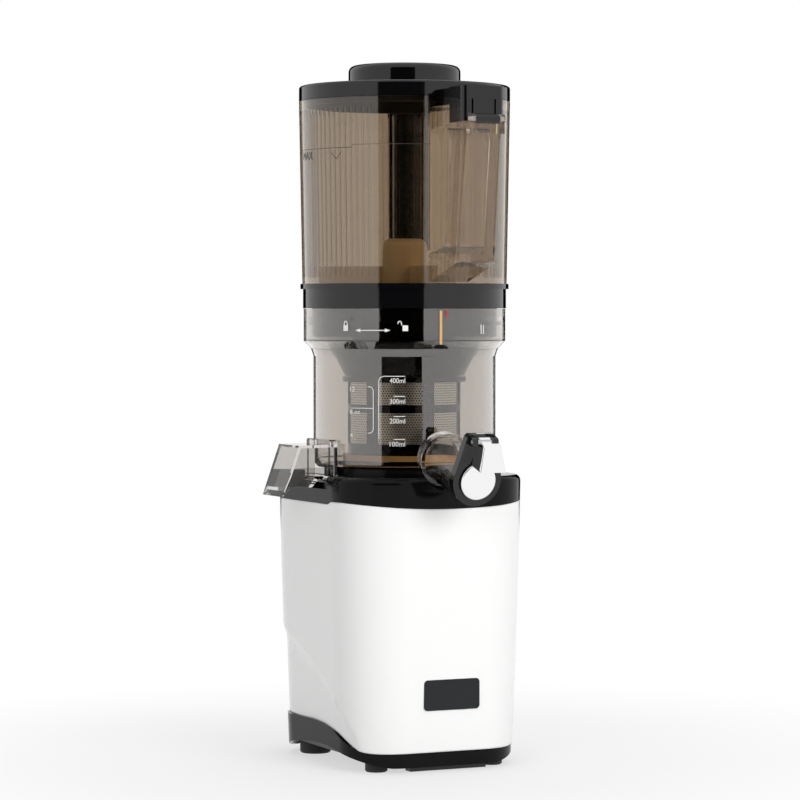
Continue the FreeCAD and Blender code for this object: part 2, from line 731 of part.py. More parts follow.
def make_rotor():
    """Motor shaft with its core, cooling fan and the first pinion."""
    core_top = MOTOR_TOP - STATOR_DROP
    core = cylinder(STATOR_BORE, core_top - STATOR_LENGTH, core_top)
    shaft = cylinder(ROTOR_SHAFT_RADIUS, MOTOR_FLOOR + MOTOR_WALL + REST_GAP, FIRST_STAGE + GEAR_WIDTH)
    pinion = gear(PINION_TEETH, FIRST_STAGE, GEAR_WIDTH, 90.0, 0.0)
    fan_bottom = core_top - STATOR_LENGTH - FAN_HEIGHT - STATOR_DROP / 2
    hub = cylinder(FAN_RADIUS / 2, fan_bottom, fan_bottom + FAN_HEIGHT)
    blade = block(ROTOR_SHAFT_RADIUS, FAN_RADIUS, -MOTOR_WALL / 2, MOTOR_WALL / 2,
                  fan_bottom, fan_bottom + FAN_HEIGHT)
    save(fused([core, shaft, pinion, hub] + copies_around(blade, FAN_BLADES)), "motor_rotor")


def make_gearbox():
    """Gearbox housing and cover, with the seats of the layshaft and output bearings."""
    half = MODULE * WHEEL_TEETH / 2 + GEARBOX_WALL + STAGE_GAP / 2
    back = CENTRE_DISTANCE + half
    housing = block(-half, half, -half, back, PLATE_TOP, GEARBOX_TOP)
    cavity = block(-half + GEARBOX_WALL, half - GEARBOX_WALL, -half + GEARBOX_WALL,
                   back - GEARBOX_WALL, PLATE_TOP + GEARBOX_FLOOR, GEARBOX_TOP)
    lay_seat = cylinder(LAYSHAFT_RADIUS * 2, 0, BASE_HEIGHT)
    lay_seat.translate(V(0, CENTRE_DISTANCE, 0))
    motor_hole = cylinder(ROTOR_SHAFT_RADIUS + TURN_GAP, 0, BASE_HEIGHT)
    save(housing.cut(cavity).cut(lay_seat).cut(motor_hole), "gearbox_housing")
    lid = block(-half, half, -half, back, GEARBOX_TOP, COVER_TOP)
    boss = cylinder(OUTPUT_BEARING_RADIUS + GEARBOX_WALL, GEARBOX_TOP, GEARBOX_TOP + OUTPUT_BEARING_HEIGHT)
    seat = cylinder(OUTPUT_BEARING_RADIUS, 0, BASE_HEIGHT)
    save(fused([lid, boss]).cut(seat).cut(lay_seat), "gearbox_cover")
    ring = bearing(LAYSHAFT_RADIUS * 2, LAYSHAFT_RADIUS, PLATE_TOP, GEARBOX_FLOOR)
    upper = bearing(LAYSHAFT_RADIUS * 2, LAYSHAFT_RADIUS, GEARBOX_TOP, GEARBOX_LID)
    pair = Part.makeCompound([ring, upper])
    pair.translate(V(0, CENTRE_DISTANCE, 0))
    save(pair, "layshaft_bearings")
    save(bearing(OUTPUT_BEARING_RADIUS, DRIVE_SHAFT_RADIUS, GEARBOX_TOP, OUTPUT_BEARING_HEIGHT),
         "output_bearing")
    screws = []
    for x in (-half + SCREW_HEAD_RADIUS, half - SCREW_HEAD_RADIUS):
        for y in (-half + SCREW_HEAD_RADIUS, back - SCREW_HEAD_RADIUS):
            head = cylinder(SCREW_HEAD_RADIUS, COVER_TOP, COVER_TOP + SCREW_HEAD_HEIGHT)
            slot = block(-SCREW_HEAD_RADIUS, SCREW_HEAD_RADIUS, -SCREW_SLOT / 2, SCREW_SLOT / 2,
                         COVER_TOP + SCREW_HEAD_HEIGHT / 2, BASE_HEIGHT)
            head = head.cut(slot)
            head.translate(V(x, y, 0))
            screws.append(head)
    save(Part.makeCompound(screws), "gearbox_screws")


def make_train():
    """Layshaft with wheel and pinion, and the output wheel with its square shaft."""
    half_tooth = 180.0 / WHEEL_TEETH
    shaft = cylinder(LAYSHAFT_RADIUS, PLATE_TOP + REST_GAP, COVER_TOP - REST_GAP)
    shaft.translate(V(0, CENTRE_DISTANCE, 0))
    wheel = gear(WHEEL_TEETH, FIRST_STAGE, GEAR_WIDTH, -90.0 + half_tooth, CENTRE_DISTANCE)
    pinion = gear(PINION_TEETH, FIRST_STAGE + GEAR_WIDTH, STAGE_GAP + GEAR_WIDTH, -90.0, CENTRE_DISTANCE)
    save(fused([shaft, wheel, pinion]), "intermediate_gear")
    output = gear(WHEEL_TEETH, SECOND_STAGE, GEAR_WIDTH, 90.0 + half_tooth, 0.0)
    stem = cylinder(DRIVE_SHAFT_RADIUS, SECOND_STAGE, SHAFT_SHOULDER)
    half = DRIVE_SQUARE / 2
    square = block(-half, half, -half, half, SHAFT_SHOULDER, SHAFT_TOP)
    square = square.common(cylinder(DRIVE_SHAFT_RADIUS, SHAFT_SHOULDER, SHAFT_TOP))
    save(fused([output, stem, square]), "output_gear")


def make_board():
    """Control board across the two rear posts, with its capacitors."""
    front = POST_BACK + POST_RADIUS
    board = block(-BOARD_HALF_WIDTH, BOARD_HALF_WIDTH, front, front + BOARD_THICKNESS,
                  BOARD_LEVEL, BOARD_LEVEL + BOARD_HEIGHT)
    parts = [board]
    for x in (-3 * CAPACITOR_RADIUS, 0, 3 * CAPACITOR_RADIUS):
        place = V(x, front + BOARD_THICKNESS, BOARD_LEVEL + BOARD_HEIGHT / 2)
        parts.append(Part.makeCylinder(CAPACITOR_RADIUS, CAPACITOR_HEIGHT, place, Y_AXIS))
    save(fused(parts), "control_board")


def make_bowl():
    """Clear juice bowl with its wide collar, hub and bayonet lips."""
    soft = BOWL_FLOOR
    hub_bore = DRIVE_SHAFT_RADIUS + SEAL_WIDTH
    flare_top = BOWL_TOP - BOWL_COLLAR_HEIGHT
    flare_low = flare_top - BOWL_FLARE_HEIGHT
    inner = BOWL_RADIUS - BOWL_WALL
    collar = BOWL_COLLAR_RADIUS - BOWL_WALL
    profile = [
        (hub_bore, BOWL_BOTTOM), (BOWL_RADIUS - soft, BOWL_BOTTOM), (BOWL_RADIUS, BOWL_BOTTOM + soft),
        (BOWL_RADIUS, flare_low), (BOWL_RADIUS + BOWL_FLARE_BULGE, flare_low + BOWL_FLARE_HEIGHT / 2),
        (BOWL_COLLAR_RADIUS, flare_top), (BOWL_COLLAR_RADIUS, BOWL_TOP), (collar, BOWL_TOP),
        (collar, flare_top + EXTRA),
        (inner + BOWL_FLARE_BULGE, flare_low + EXTRA + BOWL_FLARE_HEIGHT / 2), (inner, flare_low),
        (inner, BOWL_INSIDE + soft), (inner - soft, BOWL_INSIDE), (BOWL_HUB_RADIUS, BOWL_INSIDE),
        (BOWL_HUB_RADIUS, BOWL_BOTTOM + BOWL_HUB_HEIGHT), (hub_bore, BOWL_BOTTOM + BOWL_HUB_HEIGHT),
    ]
    lip_top = BOWL_TOP - BAYONET_DROP + BAYONET_HEIGHT
    lip = arc_block(collar - BAYONET_DEPTH, BOWL_COLLAR_RADIUS - BOWL_WALL / 2,
                    lip_top - BAYONET_HEIGHT, lip_top, BAYONET_ARC)
    bowl = turned(profile).multiFuse(copies_around(lip, BAYONET_COUNT, BAYONET_START))
    outlet = spout_place(cylinder(SPOUT_BORE, -BOWL_RADIUS / 3, SPOUT_RIM_LENGTH * 2))
    above_floor = block(-BOWL_RADIUS, BOWL_RADIUS, -2 * BOWL_RADIUS, 0, BOWL_INSIDE, BOWL_TOP)
    bowl = bowl.cut(outlet.common(above_floor))
    bowl = bowl.cut(pulp_mouth())
    save(bowl.removeSplitter(), "juice_bowl")
    seal = tube(hub_bore, DRIVE_SHAFT_RADIUS + RUNNING_FIT, BOWL_BOTTOM + REST_GAP,
                BOWL_BOTTOM + BOWL_HUB_HEIGHT - REST_GAP)
    save(seal, "bowl_seal")


def arc_block(inner, outer, bottom, top, degrees):
    """Part of a ring centred on the +X side."""
    ring = Part.makeCylinder(outer, top - bottom, V(0, 0, bottom), Z_AXIS, degrees)
    ring = ring.cut(cylinder(inner, bottom - EXTRA, top + EXTRA))
    ring.rotate(ORIGIN, Z_AXIS, -degrees / 2)
    return ring


def make_strainer():
    """Strainer basket: black frame with two rows of windows over a steel mesh."""
    inner = STRAINER_RADIUS - STRAINER_WALL
    top = BOWL_INSIDE + STRAINER_HEIGHT
    frame = tube(STRAINER_RADIUS, inner, BOWL_INSIDE, top)
    flange = tube(STRAINER_FLANGE_RADIUS, inner, top - STRAINER_FLANGE_HEIGHT, top)
    gap = 360.0 / STRAINER_BARS - math.degrees(STRAINER_BAR_WIDTH / STRAINER_RADIUS)
    low = BOWL_INSIDE + WINDOW_LOW
    high = low + WINDOW_HEIGHT + WINDOW_RING
    windows = []
    for bottom, height in ((low, WINDOW_HEIGHT), (high, WINDOW_TOP_HEIGHT)):
        window = arc_block(inner - EXTRA, STRAINER_RADIUS + EXTRA, bottom, bottom + height, gap)
        windows += copies_around(window, STRAINER_BARS)
    save(frame.cut(windows).fuse(flange).removeSplitter(), "strainer_frame")
    mesh_top = high + WINDOW_TOP_HEIGHT + EXTRA
    save(tube(inner, inner - MESH_THICKNESS, low - EXTRA, mesh_top), "strainer_mesh")


def make_auger():
    """Pressing screw with its flights, and the neck that drives the feed rotor."""
    top = AUGER_BOTTOM + AUGER_BODY_HEIGHT
    rotor_bottom = HOPPER_BOTTOM + TURN_GAP
    core = turned([(0, AUGER_BOTTOM), (AUGER_CORE_BOTTOM, AUGER_BOTTOM), (AUGER_CORE_TOP, top), (0, top)])
    neck = cylinder(AUGER_NECK_RADIUS, top - EXTRA, rotor_bottom + ROTOR_HUB_HEIGHT / 2)
    half = AUGER_FLIGHT_WIDTH / 2
    steps = AUGER_FLIGHT_STEPS
    sections = []
    for index in range(steps):
        share = index / (steps - 1)
        angle = math.radians(AUGER_FLIGHT_TURN * share)
        height = AUGER_BOTTOM + EXTRA + share * (AUGER_BODY_HEIGHT - 2 * EXTRA)
        reach = AUGER_RADIUS + EXTRA
        points = []
        for along, across in ((EXTRA, -half), (reach, -half), (reach, half), (EXTRA, half)):
            points.append(V(along * math.cos(angle) - across * math.sin(angle),
                            along * math.sin(angle) + across * math.cos(angle), height))
        points.append(points[0])
        sections.append(Part.makePolygon(points))
    flight = Part.makeLoft(sections, True, True)
    flight = flight.common(cylinder(AUGER_RADIUS, AUGER_BOTTOM, top))
    auger = core.multiFuse([neck] + copies_around(flight, AUGER_FLIGHTS))
    side = DRIVE_SQUARE / 2 + REST_GAP
    socket = block(-side, side, -side, side, AUGER_BOTTOM - EXTRA, AUGER_BOTTOM + AUGER_SOCKET_DEPTH)
    save(auger.cut(socket), "auger")
    hub = cylinder(ROTOR_HUB_RADIUS, rotor_bottom, rotor_bottom + ROTOR_HUB_HEIGHT)
    hub = hub.makeFillet(ROTOR_HUB_RADIUS / 3, [hub.Edges[0]])
    arm = block(0, ROTOR_REACH, -ROTOR_ARM_WIDTH / 2, ROTOR_ARM_WIDTH / 2,
                rotor_bottom, rotor_bottom + ROTOR_ARM_HEIGHT)
    rotor = hub.multiFuse(copies_around(arm, ROTOR_ARMS, ROTOR_START))
    bore = cylinder(AUGER_NECK_RADIUS, 0, rotor_bottom + ROTOR_HUB_HEIGHT / 2)
    save(rotor.cut(bore).removeSplitter(), "feed_rotor")


def pulp_levels():
    """Top, floor and lip heights of the pulp spout."""
    return BOWL_BOTTOM + PULP_TOP, BOWL_BOTTOM - PULP_FLOOR_DROP, BOWL_BOTTOM - PULP_DROP


def pulp_duct(inset):
    """Outer form of the pulp spout, or its inside when drawn in by a wall."""
    top, floor, lip = pulp_levels()
    slant = inset / math.cos(math.atan2(PULP_TIP - PULP_SHOULDER, top - lip))
    below = 4 * inset
    step = PULP_STEP_DROP
    outline = [
        (-BOWL_RADIUS / 2, top - inset), (-PULP_SHOULDER + slant, top - EXTRA - inset),
        (-PULP_TIP + slant, lip), (-PULP_TIP + slant, lip - below),
        (-PULP_TIP + step + slant, lip + step - below), (-PULP_HEEL - inset, floor - step - below),
        (-PULP_HEEL - inset, floor - step), (-PULP_HEEL + step - inset, floor + inset),
        (-BOWL_RADIUS / 2, floor + inset),
    ]
    return plate_xz(outline, PULP_HALF_WIDTH - inset)


def pulp_mouth():
    """Window in the bowl's wall that the pulp leaves by."""
    top = pulp_levels()[0]
    half = PULP_HALF_WIDTH - PULP_WALL
    return block(-BOWL_RADIUS - EXTRA, -BOWL_HUB_RADIUS * 3, -half, half, BOWL_INSIDE, top - PULP_WALL)


def make_pulp_spout():
    """Clear duct on the left, open downwards beside the casing, with its valve block."""
    top, floor, lip = pulp_levels()
    half = PULP_HALF_WIDTH + PULP_FLANGE
    flange = block(-BOWL_RADIUS - PULP_FLANGE_THICKNESS, -BOWL_RADIUS / 2, -half, half,
                   floor - PULP_FLANGE, top + PULP_FLANGE)
    rim = [edge for edge in flange.Edges if abs(edge.Vertexes[0].X - edge.Vertexes[1].X) > EXTRA]
    flange = flange.makeFillet(PULP_FLANGE, rim)
    bore = pulp_duct(PULP_WALL)
    duct = pulp_duct(0.0).fuse(flange).cut(bore).cut(cylinder(BOWL_RADIUS, 0, BOWL_TOP))
    save(duct.removeSplitter(), "pulp_spout")
    inner = PULP_HALF_WIDTH - PULP_WALL
    valve = block(-PULP_TIP, -PULP_TIP + PULP_WALL + 2 * PULP_VALVE, inner - PULP_VALVE, inner,
                  lip + PULP_STEP_DROP, lip + PULP_STEP_DROP + PULP_VALVE)
    save(valve.common(bore), "pulp_valve")


def make_outlet():
    """Clear juice outlet tube and the black holder plate on its end."""
    pipe = cylinder(SPOUT_RADIUS, -SPOUT_RIM_LENGTH, SPOUT_LENGTH)
    rim = cylinder(SPOUT_RIM_RADIUS, -SPOUT_RIM_LENGTH, SPOUT_RIM_LENGTH)
    bore = cylinder(SPOUT_BORE, 0, SPOUT_LENGTH)
    outlet = spout_place(pipe.fuse(rim).cut(bore))
    mouth = spout_place(cylinder(SPOUT_BORE, -2 * SPOUT_RIM_LENGTH, SPOUT_RIM_LENGTH))
    above = block(-BOWL_RADIUS, BOWL_RADIUS, -2 * BOWL_RADIUS, 0, BOWL_INSIDE, BOWL_TOP)
    outlet = outlet.cut(mouth.common(above)).cut(cylinder(BOWL_RADIUS, BOWL_BOTTOM, BOWL_TOP))
    solids = sorted(outlet.Solids, key=lambda solid: solid.Volume)
    save(solids[-1], "juice_spout")
    front = SPOUT_LENGTH + HOLDER_LENGTH
    disc = cylinder(HOLDER_RADIUS, SPOUT_LENGTH, front)
    wide = HOLDER_TOP_HALF_WIDTH
    tall = CAP_PIN_RISE + CAP_EAR_RADIUS
    side = HOLDER_RADIUS * math.cos(math.radians(HOLDER_CREST_ANGLE))
    rise = HOLDER_RADIUS * math.sin(math.radians(HOLDER_CREST_ANGLE))
    corner = HOLDER_TOP_CORNER
    outline = [(-side, rise), (-wide, tall - corner), (-wide + corner, tall),
               (wide - corner, tall), (wide, tall - corner), (side, rise)]
    points = [V(x, y, SPOUT_LENGTH) for x, y in outline]
    points.append(points[0])
    crest = Part.Face(Part.makePolygon(points)).extrude(V(0, 0, HOLDER_LENGTH))
    parts = [disc, crest]
    pin_level = front + CAP_EAR_RADIUS
    for side in (-1, 1):
        outer = side * (CAP_KNUCKLE_WIDTH / 2 + REST_GAP + CAP_EAR_WIDTH / 2)
        round_end = CAP_EAR_RADIUS - EXTRA
        ear = block(outer - CAP_EAR_WIDTH / 2, outer + CAP_EAR_WIDTH / 2, CAP_PIN_RISE - round_end,
                    CAP_PIN_RISE + round_end, SPOUT_LENGTH, pin_level)
        end = Part.makeCylinder(round_end, CAP_EAR_WIDTH,
                                V(outer - CAP_EAR_WIDTH / 2, CAP_PIN_RISE, pin_level), X_AXIS)
        parts += [ear, end]
    holder = fused(parts).cut(cylinder(SPOUT_BORE, 0, 2 * front))
    pin = cap_pin(CAP_PIN_RADIUS)
    save(spout_place(holder.cut(pin).removeSplitter()), "cap_holder")
    save(spout_place(pin), "cap_hinge_pin")


def cap_pin(radius):
    """The juice cap's hinge pin, along X in the outlet's own frame."""
    length = CAP_KNUCKLE_WIDTH + 2 * CAP_EAR_WIDTH + 2 * REST_GAP
    place = V(-length / 2, CAP_PIN_RISE, SPOUT_LENGTH + HOLDER_LENGTH + CAP_EAR_RADIUS)
    return Part.makeCylinder(radius, length, place, X_AXIS)


def make_juice_cap():
    """Chrome disc and lever that close the outlet, with a rubber seal behind."""
    front = SPOUT_LENGTH + HOLDER_LENGTH + REST_GAP
    disc = cylinder(CAP_DISC_RADIUS, front, front + CAP_DISC_HEIGHT)
    disc = disc.makeFillet(CAP_DISC_HEIGHT / 2, [disc.Edges[0]])
    save(spout_place(disc), "juice_cap")
    seal = cylinder(CAP_DISC_RADIUS, front - REST_GAP - CAP_SEAL_DEPTH, front)
    save(spout_place(seal), "cap_seal")
    base = front + CAP_DISC_HEIGHT
    sections = []
    slim = CAP_KNUCKLE_WIDTH / 2
    steps = ((LEVER_FOOT, LEVER_WIDTH / 2, base, base + LEVER_REACH),
             (LEVER_SHOULDER, slim, base - CAP_DISC_HEIGHT, base + LEVER_SHOULDER_REACH),
             (CAP_PIN_RISE, slim, base - CAP_DISC_HEIGHT / 2, base + CAP_EAR_RADIUS))
    for rise, half, near, far in steps:
        corners = [V(-half, rise, near), V(half, rise, near), V(half, rise, far), V(-half, rise, far)]
        corners.append(corners[0])
        sections.append(Part.makePolygon(corners))
    lever = Part.makeLoft(sections, True, True)
    pin_level = SPOUT_LENGTH + HOLDER_LENGTH + CAP_EAR_RADIUS
    knuckle = Part.makeCylinder(CAP_EAR_RADIUS - EXTRA, CAP_KNUCKLE_WIDTH,
                                V(-CAP_KNUCKLE_WIDTH / 2, CAP_PIN_RISE, pin_level), X_AXIS)
    lever = lever.fuse(knuckle).cut(cap_pin(CAP_PIN_RADIUS + RUNNING_FIT)).cut(disc)
    save(spout_place(lever.removeSplitter()), "cap_lever")


def make_funnel():
    """Black feed funnel under the hopper, with its bayonet lugs and gasket."""
    bottom = BOWL_INSIDE + STRAINER_HEIGHT + TURN_GAP
    sleeve = BOWL_TOP - FUNNEL_SLEEVE_DROP
    shoulder = BOWL_TOP - FUNNEL_SHOULDER_DROP
    wall = FUNNEL_WALL
    profile = [
        (FUNNEL_SLEEVE_RADIUS, FLANGE_BOTTOM), (FUNNEL_SLEEVE_RADIUS, sleeve),
        (FUNNEL_SHOULDER_RADIUS, shoulder), (FUNNEL_MOUTH_RADIUS, bottom),
        (FUNNEL_MOUTH_RADIUS - wall, bottom), (FUNNEL_SHOULDER_RADIUS - wall, shoulder + wall / 2),
        (FUNNEL_SLEEVE_RADIUS - wall, sleeve + wall / 2), (FUNNEL_SLEEVE_RADIUS - wall, FLANGE_BOTTOM),
    ]
    lug_top = BOWL_TOP - BAYONET_DROP - TURN_GAP
    lug = arc_block(FUNNEL_SLEEVE_RADIUS - wall / 2, BOWL_COLLAR_RADIUS - BOWL_WALL - TURN_GAP,
                    lug_top - BAYONET_HEIGHT, lug_top, BAYONET_ARC)
    funnel = turned(profile).multiFuse(copies_around(lug, BAYONET_COUNT, BAYONET_START))
    save(funnel.removeSplitter(), "feed_funnel")
    ring = tube(BAND_RADIUS - FUNNEL_WALL, FUNNEL_SLEEVE_RADIUS, BAND_BOTTOM + REST_GAP,
                BAND_BOTTOM + REST_GAP + FUNNEL_WALL)
    save(ring, "hopper_gasket")


def make_hopper():
    """Black collar with the hopper floor, and the tall clear hopper with inner ribs."""
    inner = BAND_RADIUS - FUNNEL_WALL
    collar = turned([(FLOOR_HOLE_RADIUS, FLANGE_BOTTOM), (inner, FLANGE_BOTTOM), (inner, BAND_BOTTOM),
                     (BAND_RADIUS, BAND_BOTTOM), (BAND_RADIUS, FLANGE_BOTTOM),
                     (FLANGE_RADIUS, FLANGE_BOTTOM), (FLANGE_RADIUS, HOPPER_BOTTOM),
                     (FLOOR_HOLE_RADIUS, HOPPER_BOTTOM)])
    save(collar, "hopper_collar")
    low = HOPPER_BOTTOM_RADIUS - HOPPER_WALL
    high = HOPPER_TOP_RADIUS - HOPPER_WALL
    wall = turned([(low, HOPPER_BOTTOM), (HOPPER_BOTTOM_RADIUS, HOPPER_BOTTOM),
                   (HOPPER_TOP_RADIUS, HOPPER_TOP), (high, HOPPER_TOP)])
    lean = (high - low) / HOPPER_HEIGHT
    foot = low + lean * RIB_FOOT
    head = high - lean * RIB_HEAD
    outline = [(foot - RIB_DEPTH, HOPPER_BOTTOM + RIB_FOOT), (foot + EXTRA, HOPPER_BOTTOM + RIB_FOOT),
               (head + EXTRA, HOPPER_TOP - RIB_HEAD), (head - RIB_DEPTH, HOPPER_TOP - RIB_HEAD)]
    rib = plate_xz(outline, RIB_WIDTH / 2)
    hopper = wall.multiFuse(copies_around(rib, RIB_COUNT))
    save(hopper.removeSplitter(), "hopper")


def hopper_outside(clearance):
    """The hopper's outer cone, grown by a clearance, for what stands against it."""
    return turned([(0, HOPPER_BOTTOM), (HOPPER_BOTTOM_RADIUS + clearance, HOPPER_BOTTOM),
                   (HOPPER_TOP_RADIUS + clearance, HOPPER_TOP), (0, HOPPER_TOP)])


def lid_axis():
    """Height and reach of the lid's hinge pin, in front of the handle's top."""
    return HOPPER_TOP - HANDLE_TOP_DROP + LID_PIN_RISE, -HANDLE_TOP_REACH - LID_PIN_PROUD


def lid_bar(radius, half_length):
    level, reach = lid_axis()
    return Part.makeCylinder(radius, 2 * half_length, V(-half_length, reach, level), X_AXIS)


def make_handle():
    """Clear hollow handle, joined to the hopper above and below the finger gap."""
    top = HOPPER_TOP - HANDLE_TOP_DROP
    heel = HOPPER_BOTTOM + HANDLE_HEEL_RISE
    inside = -HOPPER_BOTTOM_RADIUS / 2
    start = HOPPER_BOTTOM + EXTRA
    step = -HANDLE_TOP_REACH + REST_GAP + HANDLE_GRIP_DEPTH + ARM_OVERLAP + TURN_GAP
    shelf = top + ARM_HEIGHT - ARM_NECK_HEIGHT
    handle = plate_yz([(inside, start), (-HOPPER_BOTTOM_RADIUS, start),
                       (-HANDLE_BOTTOM_REACH, heel), (-HANDLE_TOP_REACH, top),
                       (step, top), (step, shelf), (inside, shelf)],
                      HANDLE_HALF_WIDTH)
    upright = [edge for edge in handle.Edges
               if abs(edge.Vertexes[0].Z - edge.Vertexes[1].Z) > HOPPER_HEIGHT / 2]
    front_edges = [edge for edge in upright if edge.BoundBox.YMax < -HOPPER_TOP_RADIUS]
    handle = handle.makeFillet(HANDLE_CORNER, front_edges)
    depth = HANDLE_GRIP_DEPTH
    gap_top = top - HANDLE_BRIDGE
    gap_low = heel + HANDLE_FOOT
    gap = plate_yz([(inside, gap_low - HANDLE_FOOT), (-HANDLE_BOTTOM_REACH + depth, gap_low),
                    (-HANDLE_TOP_REACH + depth, gap_top), (inside, gap_top)], 2 * HANDLE_HALF_WIDTH)
    round_edges = [edge for edge in gap.Edges
                   if abs(edge.Vertexes[0].X - edge.Vertexes[1].X) > EXTRA
                   and edge.BoundBox.YMax < -HOPPER_TOP_RADIUS]
    gap = gap.makeFillet(HANDLE_GAP_ROUND, round_edges)
    wall = HANDLE_WALL
    above = top + EXTRA
    hollow = plate_yz([(-HANDLE_BOTTOM_REACH + wall, heel + wall), (-HANDLE_TOP_REACH + wall, above),
                       (-HANDLE_TOP_REACH + depth - wall, above),
                       (-HANDLE_BOTTOM_REACH + depth - wall, heel + wall)], HANDLE_HALF_WIDTH - wall)
    handle = handle.cut(gap).cut(hollow).cut(hopper_outside(0.0))
    level, reach = lid_axis()
    ears = []
    for side in (-1, 1):
        middle = side * (HANDLE_HALF_WIDTH - LID_EAR_WIDTH)
        left = middle - LID_EAR_WIDTH / 2
        eye = Part.makeCylinder(LID_KNUCKLE_RADIUS, LID_EAR_WIDTH, V(left, reach, level), X_AXIS)
        web = block(left, left + LID_EAR_WIDTH, reach - LID_PIN_RADIUS, -HANDLE_TOP_REACH + wall / 2,
                    level - 3 * LID_KNUCKLE_RADIUS, level - LID_PIN_RISE - REST_GAP)
        ears += [eye, web]
    handle = fused([handle] + ears).cut(lid_bar(LID_PIN_RADIUS, HANDLE_HALF_WIDTH))
    save(handle, "handle_grip")
    save(lid_bar(LID_PIN_RADIUS, HANDLE_HALF_WIDTH - LID_EAR_WIDTH / 2), "lid_hinge_pin")


def make_lid():
    """Black lid with its raised cap, rubber plug ring and the arm over the handle."""
    rim = cylinder(HOPPER_TOP_RADIUS, LID_BOTTOM, LID_RIM_TOP)
    rim = rim.makeFillet(LID_EDGE_RADIUS, [rim.Edges[0]])
    under = LID_RIM_TOP - LID_SKIN
    rim = rim.cut(cylinder(HOPPER_TOP_RADIUS - LID_SKIN, 0, under))
    save(rim, "lid_rim")
    cap_top = LID_RIM_TOP + LID_CAP_HEIGHT
    cap = cylinder(LID_CAP_RADIUS, LID_RIM_TOP, cap_top)
    cap = cap.makeFillet(LID_CAP_ROUND, [cap.Edges[0]])
    cap = cap.cut(cylinder(LID_CAP_RADIUS - LID_SKIN, 0, cap_top - LID_SKIN - LID_CAP_ROUND / 2))
    save(cap, "lid_cap")
    save(tube(LID_PLUG_RADIUS, LID_PLUG_RADIUS - LID_PLUG_WALL, LID_BOTTOM - LID_PLUG_DEPTH, under),
         "lid_gasket")
    low = HOPPER_TOP - HANDLE_TOP_DROP + REST_GAP
    high = low + ARM_HEIGHT
    front = -HANDLE_TOP_REACH + REST_GAP
    head = block(-ARM_HALF_WIDTH, ARM_HALF_WIDTH, front, front + HANDLE_GRIP_DEPTH + ARM_OVERLAP, low, high)
    corners = [edge for edge in head.Edges
               if abs(edge.Vertexes[0].Z - edge.Vertexes[1].Z) > EXTRA
               and edge.BoundBox.YMax < front + EXTRA]
    head = head.makeFillet(HANDLE_CORNER, corners)
    neck = block(-ARM_NECK_HALF, ARM_NECK_HALF, front + HANDLE_GRIP_DEPTH, -HOPPER_TOP_RADIUS / 2,
                 high - ARM_NECK_HEIGHT, high)
    slots = []
    for x in (-ARM_SLOT_X, ARM_SLOT_X):
        slots.append(block(x - ARM_SLOT / 2, x + ARM_SLOT / 2, front - EXTRA, front + ARM_SLOT,
                           low + ARM_SLOT_LOW, low + ARM_SLOT_TOP))
    knuckle = lid_bar(LID_KNUCKLE_RADIUS, HANDLE_HALF_WIDTH - 1.5 * LID_EAR_WIDTH - REST_GAP)
    level, reach = lid_axis()
    half = HANDLE_HALF_WIDTH - 2 * LID_EAR_WIDTH
    link = block(-half, half, reach, front + ARM_SLOT, low, level + LID_KNUCKLE_RADIUS)
    arm = fused([head, neck, knuckle, link]).cut(slots)
    arm = arm.cut(hopper_outside(TURN_GAP)).cut(cylinder(HOPPER_TOP_RADIUS + TURN_GAP, 0, LID_BOTTOM))
    arm = arm.cut(cylinder(HOPPER_TOP_RADIUS, LID_BOTTOM, 2 * HOPPER_TOP))
    arm = arm.cut(lid_bar(LID_PIN_RADIUS + RUNNING_FIT, HANDLE_HALF_WIDTH))
    save(arm.removeSplitter(), "lid_arm")


os.makedirs("parts", exist_ok=True)
make_shell()
make_deck()
make_plinth()
make_bottom()
make_badge()
make_switch()
make_gland()
make_frame()
make_motor()
make_rotor()
make_gearbox()
make_train()
make_board()
make_bowl()
make_strainer()
make_auger()
make_outlet()
make_juice_cap()
make_pulp_spout()
make_funnel()
make_hopper()
make_handle()
make_lid()
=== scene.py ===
import math

import bmesh
import bpy
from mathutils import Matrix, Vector


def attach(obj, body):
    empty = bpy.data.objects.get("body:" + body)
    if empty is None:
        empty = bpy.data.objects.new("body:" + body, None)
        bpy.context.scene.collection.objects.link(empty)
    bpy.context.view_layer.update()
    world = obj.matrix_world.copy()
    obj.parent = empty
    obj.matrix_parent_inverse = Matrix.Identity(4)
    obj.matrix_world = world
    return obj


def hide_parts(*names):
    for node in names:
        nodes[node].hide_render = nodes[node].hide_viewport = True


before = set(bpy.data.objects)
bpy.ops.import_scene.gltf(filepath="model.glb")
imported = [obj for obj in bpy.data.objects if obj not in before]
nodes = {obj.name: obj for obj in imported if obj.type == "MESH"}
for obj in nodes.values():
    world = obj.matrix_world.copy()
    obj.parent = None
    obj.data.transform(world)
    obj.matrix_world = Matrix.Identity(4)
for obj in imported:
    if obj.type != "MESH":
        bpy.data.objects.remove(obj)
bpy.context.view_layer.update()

# Camera: a long lens at the height of the hopper's foot, turned a quarter of a right
# angle to the left of the juicer's front, so that the pulp side shows.
photo_camera = bpy.data.objects.new("photo_camera", bpy.data.cameras.new("photo_camera"))
photo_camera.data.lens = 141.75
photo_camera.data.sensor_width = 36.0
photo_camera.location = (-1.024, -2.196, 0.3445)
looks_at = Vector((-0.0031, 0.0015, 0.2768))
photo_camera.rotation_euler = (looks_at - photo_camera.location).to_track_quat("-Z", "Y").to_euler()
bpy.context.scene.collection.objects.link(photo_camera)
bpy.context.scene.camera = photo_camera
bpy.context.scene.view_settings.view_transform = "Standard"

